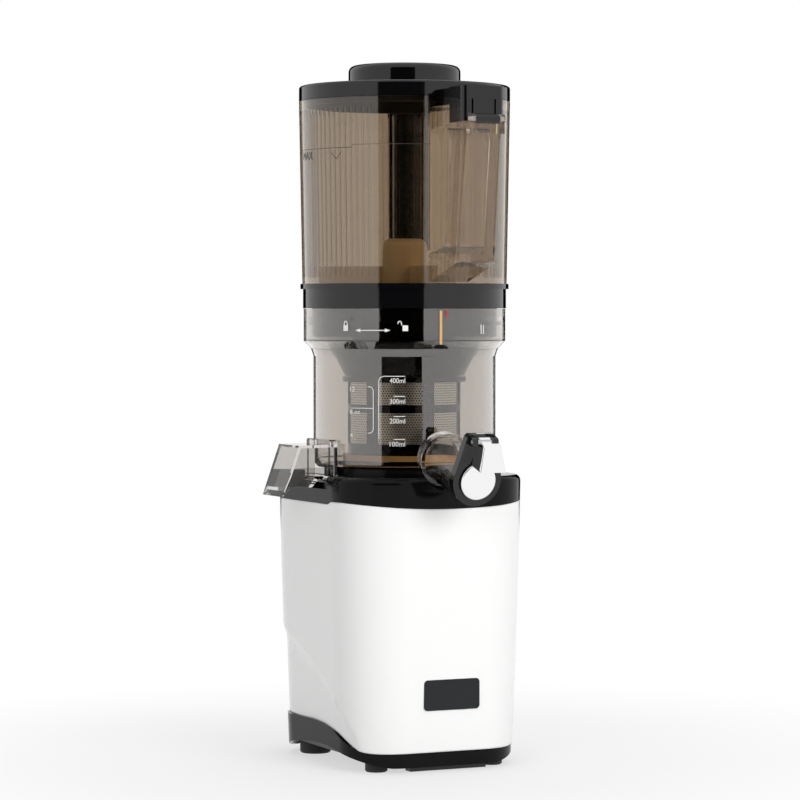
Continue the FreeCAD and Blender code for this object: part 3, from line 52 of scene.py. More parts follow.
# Studio: a white room as camera, glass and gloss see it, dimmer where it only lights.
# One dark card stands behind the camera and draws the dark strip down the middle of
# the glossy parts, and the pale floor keeps the shadow.
ROOM_LIGHT = 0.36
CARD_DISTANCE = 3.2
CARD_HALF_WIDTH = 1.5
CARD_TURN = -math.radians(28.5)
CARD_HEIGHT = 4.0
CARD_LEVEL = 0.4
room = bpy.data.worlds.new("white_room")
bpy.context.scene.world = room
room.use_nodes = True
room_nodes = room.node_tree.nodes
room_links = room.node_tree.links
rays = room_nodes.new("ShaderNodeLightPath")
seen = room_nodes.new("ShaderNodeMath")
seen.operation = "MAXIMUM"
seen_too = room_nodes.new("ShaderNodeMath")
seen_too.operation = "MAXIMUM"
strength = room_nodes.new("ShaderNodeMapRange")
strength.inputs["To Min"].default_value = ROOM_LIGHT
strength.inputs["To Max"].default_value = 1.0
room_links.new(rays.outputs["Is Camera Ray"], seen.inputs[0])
room_links.new(rays.outputs["Is Glossy Ray"], seen.inputs[1])
room_links.new(seen.outputs[0], seen_too.inputs[0])
room_links.new(rays.outputs["Is Transmission Ray"], seen_too.inputs[1])
room_links.new(seen_too.outputs[0], strength.inputs["Value"])
room_links.new(strength.outputs["Result"], room_nodes["Background"].inputs["Strength"])
room_nodes["Background"].inputs["Color"].default_value = (1.0, 1.0, 1.0, 1.0)


def studio_panel(name, width, height, place, aim):
    """A flat panel, centred at place and facing aim."""
    panel = bpy.data.meshes.new(name)
    corners = [(-width / 2, -height / 2, 0), (width / 2, -height / 2, 0)]
    corners += [(width / 2, height / 2, 0), (-width / 2, height / 2, 0)]
    panel.from_pydata(corners, [], [(0, 1, 2, 3)])
    card = bpy.data.objects.new(name, panel)
    card.location = place
    card.rotation_euler = (Vector(aim) - Vector(place)).to_track_quat("Z", "Y").to_euler()
    bpy.context.scene.collection.objects.link(card)
    return card


card_place = (
    CARD_DISTANCE * math.sin(CARD_TURN),
    -CARD_DISTANCE * math.cos(CARD_TURN),
    CARD_LEVEL,
)
dark_card = studio_panel("dark_card", 2 * CARD_HALF_WIDTH, CARD_HEIGHT, card_place,
                         (0, 0, CARD_LEVEL))
dark_card.visible_camera = False
dark_card.visible_diffuse = False
dark_card.visible_shadow = False
dark_felt = bpy.data.materials.new("dark_felt")
dark_felt.use_nodes = True
dark_felt.node_tree.nodes["Principled BSDF"].inputs["Base Color"].default_value = (0.0, 0.0, 0.0, 1)
dark_felt.node_tree.nodes["Principled BSDF"].inputs["Specular IOR Level"].default_value = 0.0
dark_card.data.materials.append(dark_felt)

# Two dark flags stand behind the juicer, one each side of the view, and give the gloss
# its dark outlines. A narrow dark strip between them shows only through the hopper.
FLAG_DISTANCE = 2.5
FLAG_HEIGHT = 5.0
FLAG_LEVEL = 0.5
FLAG_NEAR = 0.3
FLAG_FAR = 1.5
view_away = Vector((0.4226, 0.9063, 0.0))
view_right = Vector((0.9063, -0.4226, 0.0))
for side_name, side in (("left", -1.0), ("right", 1.0)):
    flag_middle = view_away * FLAG_DISTANCE + view_right * side * (FLAG_NEAR + FLAG_FAR) / 2
    flag_place = (flag_middle.x, flag_middle.y, FLAG_LEVEL)
    flag_aim = (flag_middle.x - view_away.x, flag_middle.y - view_away.y, FLAG_LEVEL)
    dark_flag = studio_panel("dark_flag_" + side_name, FLAG_FAR - FLAG_NEAR, FLAG_HEIGHT,
                             flag_place, flag_aim)
    dark_flag.visible_camera = False
    dark_flag.visible_diffuse = False
    dark_flag.visible_shadow = False
    dark_flag.visible_transmission = False
    dark_flag.data.materials.append(dark_felt)

STRIP_PLACE = 0.008
STRIP_HALF_WIDTH = 0.038
STRIP_FOOT = 0.437
STRIP_TOP = 1.2
STRIP_WAVE = 0.0045
STRIP_WAVES = 2.5
STRIP_STEPS = 40
strip_points = []
for step in range(STRIP_STEPS + 1):
    share = step / STRIP_STEPS
    across = STRIP_PLACE + STRIP_HALF_WIDTH * (2.0 * share - 1.0)
    wave = STRIP_WAVE * math.cos(2.0 * math.pi * STRIP_WAVES * share)
    spot = view_away * FLAG_DISTANCE + view_right * across
    strip_points.append((spot.x, spot.y, STRIP_FOOT - wave))
for step in (STRIP_STEPS, 0):
    strip_points.append((strip_points[step][0], strip_points[step][1], STRIP_TOP))
strip_mesh = bpy.data.meshes.new("dark_strip")
strip_mesh.from_pydata(strip_points, [], [list(range(len(strip_points)))])
dark_strip = bpy.data.objects.new("dark_strip", strip_mesh)
bpy.context.scene.collection.objects.link(dark_strip)
dark_strip.visible_camera = False
dark_strip.visible_diffuse = False
dark_strip.visible_glossy = False
dark_strip.visible_shadow = False
dark_strip.data.materials.append(dark_felt)

FLOOR_SIZE = 12.0
FLOOR_GLOW = 0.6
floor = studio_panel("floor", FLOOR_SIZE, FLOOR_SIZE, (0, 0, 0), (0, 0, 1))
pale_floor = bpy.data.materials.new("pale_floor")
pale_floor.use_nodes = True
floor_nodes = pale_floor.node_tree.nodes
floor_links = pale_floor.node_tree.links
floor_nodes.clear()
paint = floor_nodes.new("ShaderNodeBsdfDiffuse")
paint.inputs["Color"].default_value = (0.82, 0.82, 0.82, 1.0)
glow = floor_nodes.new("ShaderNodeEmission")
glow.inputs["Color"].default_value = (1.0, 1.0, 1.0, 1.0)
floor_rays = floor_nodes.new("ShaderNodeLightPath")
floor_place = floor_nodes.new("ShaderNodeNewGeometry")
floor_reach = floor_nodes.new("ShaderNodeVectorMath")
floor_reach.operation = "LENGTH"
fade = floor_nodes.new("ShaderNodeMapRange")
fade.interpolation_type = "SMOOTHSTEP"
fade.inputs["From Min"].default_value = 0.12
fade.inputs["From Max"].default_value = 0.55
fade.inputs["To Min"].default_value = FLOOR_GLOW
fade.inputs["To Max"].default_value = 1.0
unseen = floor_nodes.new("ShaderNodeMath")
unseen.operation = "MAXIMUM"
unseen_too = floor_nodes.new("ShaderNodeMath")
unseen_too.operation = "MAXIMUM"
glow_share = floor_nodes.new("ShaderNodeMath")
glow_share.operation = "MULTIPLY"
floor_mix = floor_nodes.new("ShaderNodeMixShader")
floor_out = floor_nodes.new("ShaderNodeOutputMaterial")
floor_links.new(floor_place.outputs["Position"], floor_reach.inputs[0])
floor_links.new(floor_reach.outputs["Value"], fade.inputs["Value"])
floor_links.new(floor_rays.outputs["Is Camera Ray"], unseen.inputs[0])
floor_links.new(floor_rays.outputs["Is Glossy Ray"], unseen.inputs[1])
floor_links.new(unseen.outputs[0], unseen_too.inputs[0])
floor_links.new(floor_rays.outputs["Is Transmission Ray"], unseen_too.inputs[1])
floor_links.new(fade.outputs["Result"], glow_share.inputs[0])
floor_links.new(unseen_too.outputs[0], glow_share.inputs[1])
floor_links.new(glow_share.outputs[0], floor_mix.inputs["Fac"])
floor_links.new(paint.outputs[0], floor_mix.inputs[1])
floor_links.new(glow.outputs[0], floor_mix.inputs[2])
floor_links.new(floor_mix.outputs[0], floor_out.inputs["Surface"])
floor.data.materials.append(pale_floor)


def studio_lamp(name, power, width, place, aim=(0.0, 0.0, 0.28)):
    """A soft square lamp that lights but doesn't mirror in the gloss."""
    lamp = bpy.data.objects.new(name, bpy.data.lights.new(name, "AREA"))
    lamp.data.energy = power
    lamp.data.size = width
    lamp.location = place
    lamp.rotation_euler = (Vector(aim) - Vector(place)).to_track_quat("-Z", "Y").to_euler()
    lamp.visible_glossy = False
    lamp.visible_transmission = False
    bpy.context.scene.collection.objects.link(lamp)
    return lamp


studio_lamp("lamp_left_front", 17.0, 1.4, (-2.0, -1.7, 1.1))
studio_lamp("lamp_right_front", 40.0, 1.4, (0.7, -2.5, 1.0))
studio_lamp("lamp_top", 18.0, 1.2, (0.2, 0.3, 2.2))

# Casing: one injection-moulded shell of glossy white ABS, open at the top and bottom,
# with a soft hollow pressed into each side. Its mesh is drawn in rings from the skirt
# up to the deck's border, and has openings behind the badge and the switch.
SHELL_WHITE = (0.86, 0.86, 0.855, 1.0)


def finish_slots(name, material):
    """Gives every slot of a CAD node the one material."""
    for index in range(len(nodes[name].data.materials)):
        nodes[name].data.materials[index] = material


def moulded_plastic(name, colour, roughness, spread, grain=900.0, dent=0.02, coat=0.0, shine=0.5):
    """Moulded plastic: a fine uneven gloss and a faint ripple from the mould."""
    material = bpy.data.materials.new(name)
    material.use_nodes = True
    tree = material.node_tree
    skin = tree.nodes["Principled BSDF"]
    skin.inputs["Base Color"].default_value = colour
    skin.inputs["Specular IOR Level"].default_value = shine
    skin.inputs["Coat Weight"].default_value = coat
    skin.inputs["Coat Roughness"].default_value = 0.03
    place = tree.nodes.new("ShaderNodeTexCoord")
    speckle = tree.nodes.new("ShaderNodeTexNoise")
    speckle.inputs["Scale"].default_value = grain
    speckle.inputs["Detail"].default_value = 3.0
    ripple = tree.nodes.new("ShaderNodeTexNoise")
    ripple.inputs["Scale"].default_value = 14.0
    gloss = tree.nodes.new("ShaderNodeMapRange")
    gloss.inputs["To Min"].default_value = roughness - spread
    gloss.inputs["To Max"].default_value = roughness + spread
    relief = tree.nodes.new("ShaderNodeBump")
    relief.inputs["Strength"].default_value = dent
    relief.inputs["Distance"].default_value = 0.0002
    tree.links.new(place.outputs["Object"], speckle.inputs["Vector"])
    tree.links.new(place.outputs["Object"], ripple.inputs["Vector"])
    tree.links.new(ripple.outputs["Fac"], gloss.inputs["Value"])
    tree.links.new(gloss.outputs["Result"], skin.inputs["Roughness"])
    tree.links.new(speckle.outputs["Fac"], relief.inputs["Height"])
    tree.links.new(relief.outputs["Normal"], skin.inputs["Normal"])
    return material


shell_white = moulded_plastic("shell_white", SHELL_WHITE, 0.2, 0.03, coat=0.5)

SHELL_BASE = 0.221
SHELL_SIDE = 0.077
SHELL_FRONT = 0.082
SHELL_BACK = 0.1035
SHELL_CORNER = 0.048
SHELL_DRAW_IN = 0.0065
SHELL_WALL = 0.0028
SHELL_GAP = 0.0002
SHELL_COLUMNS = 32
SHELL_ROWS = 130
CORNER_TURN = 90.0
SCOOP_DEEP = 0.0026
SCOOP_FADE = 0.014
SCOOP_FULL = 0.05
CREASE = ((-0.06, 0.0), (-0.054, 0.03), (-0.03, 0.055), (0.0, 0.0735), (0.0621, 0.099),
          (0.1242, 0.108))
SKIRT = ((-0.085, 0.015), (-0.06, 0.016), (-0.024, 0.028), (0.05175, 0.032), (0.1065, 0.033))
BORDER_LEVEL = 0.205
BORDER_DIP = 0.0074
BORDER_REACH = 0.093
BORDER_STEP_SIDE = 0.061
BORDER_STEP_FRONT = 0.043
BORDER_STEP_RUN = 0.018
BORDER_STEP = 0.005
BADGE_OPENING = (0.0028, 0.0185, 0.058, 0.0105)
OPENING_FACE = 0.06
SWITCH_OPENING = (0.02, 0.016, 0.12, 0.012)


def smooth_line(knots, samples=24):
    """Points of a smooth curve through the knots, in the plane of a side view."""
    line = []
    for index in range(len(knots) - 1):
        before = Vector(knots[max(index - 1, 0)])
        start = Vector(knots[index])
        end = Vector(knots[index + 1])
        after = Vector(knots[min(index + 2, len(knots) - 1)])
        for step in range(samples):
            share = step / samples
            leave = (end - before) * 0.5
            arrive = (after - start) * 0.5
            cube = share ** 3
            square = share ** 2
            spot = (2 * cube - 3 * square + 1) * start + (cube - 2 * square + share) * leave
            spot += (3 * square - 2 * cube) * end + (cube - square) * arrive
            line.append((spot.x, spot.y))
    line.append(tuple(knots[-1]))
    return line


def level_on(line, along):
    """Height of a smooth line at one place along the casing."""
    for (y0, z0), (y1, z1) in zip(line, line[1:]):
        if y0 <= along <= y1:
            return z0 + (z1 - z0) * (along - y0) / max(y1 - y0, 1e-9)
    return line[0][1] if along < line[0][0] else line[-1][1]


crease_line = smooth_line(CREASE)
skirt_line = smooth_line(SKIRT)


def scoop_inset(along, level):
    """How deep the side hollow is: none above the crease, easing out below it."""
    nearest = 1.0
    for (y0, z0), (y1, z1) in zip(crease_line[::3], crease_line[3::3]):
        run = Vector((y1 - y0, z1 - z0))
        reach = Vector((along - y0, level - z0))
        share = max(0.0, min(1.0, reach.dot(run) / run.length_squared))
        nearest = min(nearest, (reach - run * share).length)
    top = level_on(crease_line, along)
    if along < crease_line[0][0] or level > top:
        return 0.0
    share = min(nearest / SCOOP_FADE, 1.0)
    return SCOOP_DEEP * (1.0 - (1.0 - share) ** 2)


def shell_outline(level):
    """Rounded outline of the casing at one height: place and outward direction."""
    share = 1.0 - level / SHELL_BASE
    drawn = SHELL_DRAW_IN * share * (0.6 + 0.4 * share)
    right = SHELL_SIDE - drawn
    front = -SHELL_FRONT + drawn
    back = SHELL_BACK - drawn
    radius = SHELL_CORNER - drawn
    centres = ((right - radius, front + radius, -90), (right - radius, back - radius, 0))
    centres += ((radius - right, back - radius, 90), (radius - right, front + radius, 180))
    ring = []
    for index, (x, y, start) in enumerate(centres):
        for step in range(SHELL_COLUMNS + 1):
            angle = math.radians(start + CORNER_TURN * step / SHELL_COLUMNS)
            out = Vector((math.cos(angle), math.sin(angle)))
            ring.append((Vector((x, y)) + out * radius, out))
        next_x, next_y, next_start = centres[(index + 1) % 4]
        turn = math.radians(next_start)
        out = Vector((math.cos(turn), math.sin(turn)))
        run_end = Vector((next_x, next_y)) + out * radius
        run_start = ring[-1][0]
        for step in range(1, SHELL_COLUMNS):
            ring.append((run_start.lerp(run_end, step / SHELL_COLUMNS), out))
    return ring


def shell_top(x, y):
    """The border between shell and deck: it dips in front and steps down on the left."""
    arc = BORDER_LEVEL - BORDER_DIP * (1.0 - (x / BORDER_REACH) ** 2)
    if x < -BORDER_STEP_SIDE:
        share = max(0.0, min(1.0, (y + BORDER_STEP_FRONT) / BORDER_STEP_RUN))
        arc = min(arc, BORDER_LEVEL - BORDER_STEP * share * share * (3.0 - 2.0 * share))
    return arc


def in_opening(spot):
    """Whether a place on the casing lies behind the badge or the switch."""
    middle, half_width, level, half_height = BADGE_OPENING
    badge = spot.y < -OPENING_FACE and abs(spot.x - middle) < half_width
    badge = badge and abs(spot.z - level) < half_height
    middle, half_width, level, half_height = SWITCH_OPENING
    switch = spot.x > OPENING_FACE and abs(spot.y - middle) < half_width
    switch = switch and abs(spot.z - level) < half_height
    return badge or switch


shell_mesh = bmesh.new()
shell_rings = []
level_rings = [shell_outline(SHELL_BASE * row / SHELL_ROWS) for row in range(SHELL_ROWS + 1)]
for row in range(SHELL_ROWS + 1):
    ring = []
    for column in range(len(level_rings[0])):
        middle = level_rings[SHELL_ROWS // 2][column][0]
        low = level_on(skirt_line, middle.y) + SHELL_GAP
        high = shell_top(middle.x, middle.y) - SHELL_GAP
        level = low + (high - low) * row / SHELL_ROWS
        place_row = level / SHELL_BASE * SHELL_ROWS
        lower = min(int(place_row), SHELL_ROWS - 1)
        below, out = level_rings[lower][column]
        above = level_rings[lower + 1][column][0]
        spot = below.lerp(above, place_row - lower)
        spot = spot - out * scoop_inset(spot.y, level) * min(1.0, abs(spot.x) / SCOOP_FULL)
        ring.append(shell_mesh.verts.new((spot.x, spot.y, level)))
    shell_rings.append(ring)
for lower_ring, upper_ring in zip(shell_rings, shell_rings[1:]):
    for column in range(len(lower_ring)):
        following = (column + 1) % len(lower_ring)
        corners = (lower_ring[column], lower_ring[following],
                   upper_ring[following], upper_ring[column])
        if not all(in_opening(corner.co) for corner in corners):
            shell_mesh.faces.new(corners)
for loose in [vert for vert in shell_mesh.verts if not vert.link_faces]:
    shell_mesh.verts.remove(loose)
shell_data = bpy.data.meshes.new("casing_shell")
shell_mesh.to_mesh(shell_data)
shell_mesh.free()
casing_shell = bpy.data.objects.new("casing_shell", shell_data)
bpy.context.scene.collection.objects.link(casing_shell)
for face in shell_data.polygons:
    face.use_smooth = True
shell_wall = casing_shell.modifiers.new("wall", "SOLIDIFY")
shell_wall.thickness = SHELL_WALL
shell_wall.offset = -1.0
shell_data.materials.append(shell_white)
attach(casing_shell, "base")
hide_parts("body_shell")

# Deck, plinth and badge plate: piano-black ABS with a polished face. The deck drops
# over the shell's lip and the plinth clips in below it.
PIANO_BLACK = (0.003, 0.003, 0.0035, 1.0)
piano_black = moulded_plastic("piano_black", PIANO_BLACK, 0.07, 0.02, dent=0.005)
# The deck and plinth take a copy of the piano black whose reflection is turned down to about a
# quarter and made a little rougher. This is painted shade for the dark surroundings their faces
# would mirror, not a different finish.
deck_black_dimmed_reflection = moulded_plastic("deck_black_dimmed_reflection", PIANO_BLACK, 0.12, 0.03, dent=0.005, shine=0.13)
finish_slots("top_deck", deck_black_dimmed_reflection)
finish_slots("plinth", deck_black_dimmed_reflection)
BADGE_CHARCOAL = (0.012, 0.014, 0.016, 1.0)
badge_charcoal = moulded_plastic("badge_charcoal", BADGE_CHARCOAL, 0.3, 0.04, shine=0.25)
finish_slots("badge_plate", badge_charcoal)

# Underside: a satin cover with cooling slots, four rubber feet and the rubber strip
# under the front edge. The screws come up from below.
satin_black = moulded_plastic("satin_black", (0.016, 0.016, 0.017, 1.0), 0.38, 0.06, dent=0.15)
foot_rubber = moulded_plastic("foot_rubber", (0.012, 0.012, 0.012, 1.0), 0.62, 0.08, dent=0.3)
finish_slots("bottom_cover", satin_black)
finish_slots("rubber_feet", foot_rubber)
finish_slots("front_foot_strip", satin_black)

# Switch and cord entry: a satin bezel with a rocker on the right side, and the
# moulded gland at the back.
finish_slots("switch_bezel", satin_black)
finish_slots("power_switch", satin_black)
finish_slots("cord_gland", foot_rubber)

# Drive, inside the casing: a steel motor can on a plate, carried on posts, with a
# glass-filled nylon gearbox on top and the control board beside it.
grey_nylon = moulded_plastic("grey_nylon", (0.18, 0.18, 0.19, 1.0), 0.5, 0.06, dent=0.3)


def bare_metal(name, colour, roughness, spread, streak=(60.0, 60.0, 900.0)):
    """Machined or drawn metal: fine streaks vary its gloss."""
    material = bpy.data.materials.new(name)
    material.use_nodes = True
    tree = material.node_tree
    skin = tree.nodes["Principled BSDF"]
    skin.inputs["Base Color"].default_value = colour
    skin.inputs["Metallic"].default_value = 1.0
    place = tree.nodes.new("ShaderNodeTexCoord")
    stretch = tree.nodes.new("ShaderNodeMapping")
    stretch.inputs["Scale"].default_value = streak
    streaks = tree.nodes.new("ShaderNodeTexNoise")
    streaks.inputs["Scale"].default_value = 1.0
    streaks.inputs["Detail"].default_value = 4.0
    gloss = tree.nodes.new("ShaderNodeMapRange")
    gloss.inputs["To Min"].default_value = roughness - spread
    gloss.inputs["To Max"].default_value = roughness + spread
    relief = tree.nodes.new("ShaderNodeBump")
    relief.inputs["Strength"].default_value = 0.05
    relief.inputs["Distance"].default_value = 0.0001
    tree.links.new(place.outputs["Object"], stretch.inputs["Vector"])
    tree.links.new(stretch.outputs["Vector"], streaks.inputs["Vector"])
    tree.links.new(streaks.outputs["Fac"], gloss.inputs["Value"])
    tree.links.new(gloss.outputs["Result"], skin.inputs["Roughness"])
    tree.links.new(streaks.outputs["Fac"], relief.inputs["Height"])
    tree.links.new(relief.outputs["Normal"], skin.inputs["Normal"])
    return material


machined_steel = bare_metal("machined_steel", (0.56, 0.56, 0.57, 1.0), 0.28, 0.08)
stamped_iron = bare_metal("stamped_iron", (0.22, 0.21, 0.2, 1.0), 0.45, 0.1)
board_green = moulded_plastic("board_green", (0.01, 0.09, 0.03, 1.0), 0.4, 0.08, dent=0.2)
for metal_piece in ("drive_plate", "motor_housing", "gearbox_screws", "motor_bearings"):
    finish_slots(metal_piece, machined_steel)
for metal_piece in ("layshaft_bearings", "output_bearing", "output_gear", "intermediate_gear"):
    finish_slots(metal_piece, machined_steel)
for iron_piece in ("motor_stator", "motor_rotor"):
    finish_slots(iron_piece, stamped_iron)
for nylon_piece in ("frame_posts", "gearbox_housing", "gearbox_cover"):
    finish_slots(nylon_piece, grey_nylon)
finish_slots("control_board", board_green)

# Bowl: clear smoky copolyester, moulded in one with its lock collar. It stands on
# the deck's boss, and a silicone ring seals the drive shaft.
BOWL_SMOKE = (0.62, 0.585, 0.545, 1.0)


def clear_plastic(name, tint, roughness=0.02, ior=1.5, coat=0.0, coat_ior=1.7):
    """Tinted clear plastic: glass to the eye, see-through to lamps."""
    material = bpy.data.materials.new(name)
    material.use_nodes = True
    tree = material.node_tree
    skin = tree.nodes["Principled BSDF"]
    skin.inputs["Base Color"].default_value = tint
    skin.inputs["Transmission Weight"].default_value = 1.0
    skin.inputs["IOR"].default_value = ior
    skin.inputs["Coat Weight"].default_value = coat
    skin.inputs["Coat IOR"].default_value = coat_ior
    place = tree.nodes.new("ShaderNodeTexCoord")
    ripple = tree.nodes.new("ShaderNodeTexNoise")
    ripple.inputs["Scale"].default_value = 22.0
    gloss = tree.nodes.new("ShaderNodeMapRange")
    gloss.inputs["To Min"].default_value = roughness * 0.5
    gloss.inputs["To Max"].default_value = roughness * 1.5
    lets_through = tree.nodes.new("ShaderNodeBsdfTransparent")
    lets_through.inputs["Color"].default_value = [math.sqrt(value) for value in tint[:3]] + [1.0]
    which_ray = tree.nodes.new("ShaderNodeLightPath")
    mixer = tree.nodes.new("ShaderNodeMixShader")
    tree.links.new(place.outputs["Object"], ripple.inputs["Vector"])
    tree.links.new(ripple.outputs["Fac"], gloss.inputs["Value"])
    tree.links.new(gloss.outputs["Result"], skin.inputs["Roughness"])
    tree.links.new(which_ray.outputs["Is Shadow Ray"], mixer.inputs["Fac"])
    tree.links.new(skin.outputs[0], mixer.inputs[1])
    tree.links.new(lets_through.outputs[0], mixer.inputs[2])
    tree.links.new(mixer.outputs[0], tree.nodes["Material Output"].inputs["Surface"])
    return material


bowl_smoke = clear_plastic("bowl_smoke", BOWL_SMOKE, coat=1.0)
finish_slots("juice_bowl", bowl_smoke)
seal_silicone = moulded_plastic("seal_silicone", (0.03, 0.03, 0.03, 1.0), 0.5, 0.06, dent=0.1)
finish_slots("bowl_seal", seal_silicone)

# Juice outlet and pulp spout: clear moulded ducts on the bowl, each with its grey
# silicone part.
spout_clear = clear_plastic("spout_clear", (0.86, 0.83, 0.8, 1.0))
finish_slots("juice_spout", spout_clear)
finish_slots("pulp_spout", clear_plastic("pulp_smoke", (0.66, 0.64, 0.62, 1.0), ior=1.35))
finish_slots("pulp_valve", seal_silicone)
finish_slots("cap_holder", piano_black)

# Juice cap: a chromed disc and lever on a steel pin, sealed by a silicone pad.
chrome = bare_metal("chrome", (0.9, 0.9, 0.91, 1.0), 0.035, 0.015)
finish_slots("juice_cap", chrome)


def edged_solid(name, corners, faces, edge=0.0):
    """A solid from its corners and faces, with softened edges."""
    data = bpy.data.meshes.new(name)
    data.from_pydata(corners, [], faces)
    solid = bpy.data.objects.new(name, data)
    bpy.context.scene.collection.objects.link(solid)
    if edge:
        soft = solid.modifiers.new("edge", "BEVEL")
        soft.width = edge
        soft.segments = 3
    return solid


LEVER_EDGE = 0.0006
LEVER_SIDES = ((-0.1445, 0.227, -0.0066, 0.0147), (-0.1445, 0.2462, -0.0036, 0.0107),
               (-0.1305, 0.2562, -0.0036, 0.0107), (-0.1305, 0.2316, -0.0066, 0.0147))
lever_corners = [(left, y, z) for y, z, left, right in LEVER_SIDES]
lever_corners += [(right, y, z) for y, z, left, right in LEVER_SIDES]
lever_faces = [(0, 1, 2, 3), (7, 6, 5, 4), (0, 4, 5, 1), (1, 5, 6, 2), (2, 6, 7, 3), (3, 7, 4, 0)]
lever_block = edged_solid("cap_lever_block", lever_corners, lever_faces, LEVER_EDGE)
lever_block.data.materials.append(chrome)
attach(lever_block, "cap")
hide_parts("cap_lever")
finish_slots("cap_hinge_pin", machined_steel)
finish_slots("cap_seal", seal_silicone)

# Strainer: a black moulded frame with windows, and a sheet of perforated stainless
# steel rolled inside it.
finish_slots("strainer_frame", piano_black)
SHEET_STEEL = (0.82, 0.79, 0.72, 1.0)
SHEET_RADIUS = 0.0417
HOLE_PITCH = 0.0021
HOLE_SHARE = 0.27
# The holes are not cut through the sheet: each is a spot of this dark colour, painted shade for the
# dark inside of the strainer seen through it.
HOLE_PAINTED_SHADE = (0.05, 0.045, 0.04, 1.0)
ROW_SHARE = 0.866


def punched_sheet(name, colour, radius, pitch, hole):
    """Rolled sheet whose rows of round holes are dark spots of painted shade, standing for the dark
    seen through them; every second row moved by half a pitch.
    """
    material = bare_metal(name, colour, 0.3, 0.05)
    tree = material.node_tree
    links = tree.links

    def sums(operation, first, second):
        node = tree.nodes.new("ShaderNodeMath")
        node.operation = operation
        for socket, value in zip(node.inputs, (first, second)):
            if isinstance(value, float):
                socket.default_value = value
            elif value is not None:
                links.new(value, socket)
        return node.outputs[0]

    place = tree.nodes.new("ShaderNodeTexCoord")
    apart = tree.nodes.new("ShaderNodeSeparateXYZ")
    links.new(place.outputs["Object"], apart.inputs[0])
    angle = sums("ARCTAN2", apart.outputs["Y"], apart.outputs["X"])
    along = sums("MULTIPLY", angle, radius / pitch)
    upward = sums("DIVIDE", apart.outputs["Z"], pitch * ROW_SHARE)
    row = sums("FLOOR", upward, None)
    shift = sums("MULTIPLY", sums("MODULO", row, 2.0), 0.5)
    side = sums("SUBTRACT", sums("FRACT", sums("ADD", along, shift), None), 0.5)
    rise = sums("MULTIPLY", sums("SUBTRACT", sums("FRACT", upward, None), 0.5), ROW_SHARE)
    squares = sums("ADD", sums("MULTIPLY", side, side), sums("MULTIPLY", rise, rise))
    reach = sums("SQRT", squares, None)
    # Inside each round hole the colour turns dark: painted shade, not an opening.
    inside = sums("LESS_THAN", reach, hole)
    tint = tree.nodes.new("ShaderNodeMix")
    tint.data_type = "RGBA"
    tint.inputs["A"].default_value = colour
    tint.inputs["B"].default_value = HOLE_PAINTED_SHADE
    links.new(inside, tint.inputs["Factor"])
    links.new(tint.outputs["Result"], tree.nodes["Principled BSDF"].inputs["Base Color"])
    return material


mesh_steel = punched_sheet("mesh_steel", SHEET_STEEL, SHEET_RADIUS, HOLE_PITCH, HOLE_SHARE)
finish_slots("strainer_mesh", mesh_steel)

# Auger and feed rotor: the screw and the drum cone above it, moulded in amber and
# black engineering plastic on one shaft.
auger_amber = moulded_plastic("auger_amber", (0.62, 0.42, 0.2, 1.0), 0.3, 0.05, dent=0.05)
finish_slots("auger", auger_amber)
finish_slots("feed_rotor", moulded_plastic("rotor_beige", (0.72, 0.58, 0.38, 1.0), 0.28, 0.04))

# Hopper: a tall tumbler of brown smoky copolyester with fine ribs down its inside,
# glued into the black collar that locks on the bowl.
HOPPER_SMOKE = (0.5, 0.425, 0.34, 1.0)
hopper_smoke = clear_plastic("hopper_smoke", HOPPER_SMOKE, 0.03, 1.2, 1.0, 1.6)
finish_slots("hopper", hopper_smoke)
finish_slots("hopper_collar", piano_black)
finish_slots("feed_funnel", piano_black)
finish_slots("hopper_gasket", seal_silicone)

# Handle: a clear brown moulded grip that stands off the hopper, with the lid's
# hinge pin at its top.
handle_smoke = clear_plastic("handle_smoke", (0.78, 0.7, 0.6, 1.0), 0.03, 1.1, 1.0, 1.5)
finish_slots("handle_grip", handle_smoke)
finish_slots("lid_hinge_pin", machined_steel)

# Lid: a polished black rim and raised cap, with an arm that reaches to the handle.
finish_slots("lid_rim", piano_black)
finish_slots("lid_cap", piano_black)
finish_slots("lid_arm", piano_black)
finish_slots("lid_gasket", seal_silicone)

# Prints: white, amber and red ink on the bowl and its collar, and the dark fill mark
# on the hopper. Each is drawn flat, as arc length and height, and bent round its wall.
FACE_TURN = math.radians(-115.0)
INK_DEPTH = 0.00012
BEND_STEP = 0.0015
ink_white = moulded_plastic("ink_white", (0.82, 0.81, 0.78, 1.0), 0.4, 0.05)
ink_amber = moulded_plastic("ink_amber", (0.62, 0.36, 0.14, 1.0), 0.4, 0.05)
ink_red = moulded_plastic("ink_red", (0.42, 0.02, 0.015, 1.0), 0.4, 0.05)
mark_dark = moulded_plastic("mark_dark", (0.05, 0.04, 0.03, 1.0), 0.3, 0.05)


def flat_bar(left, right, low, high):
    """A bar in arc length and height, cut into short lengths so that it bends."""
    count = max(1, int((right - left) / BEND_STEP))
    corners = []
    for step in range(count + 1):
        along = left + (right - left) * step / count
        corners += [(along, low), (along, high)]
    faces = [(2 * i, 2 * i + 2, 2 * i + 3, 2 * i + 1) for i in range(count)]
    return corners, faces


def flat_stroke(start, end, width):
    """A thin straight stroke from one place to another."""
    run = (Vector(end) - Vector(start)).normalized() * width / 2
    across = Vector((-run.y, run.x))
    count = max(1, int((Vector(end) - Vector(start)).length / BEND_STEP))
    corners = []
    for step in range(count + 1):
        middle = Vector(start).lerp(Vector(end), step / count)
        corners += [tuple(middle - across), tuple(middle + across)]
    faces = [(2 * i, 2 * i + 2, 2 * i + 3, 2 * i + 1) for i in range(count)]
    return corners, faces


def flat_path(points, width):
    """Strokes through a row of places."""
    return [flat_stroke(first, second, width) for first, second in zip(points, points[1:])]


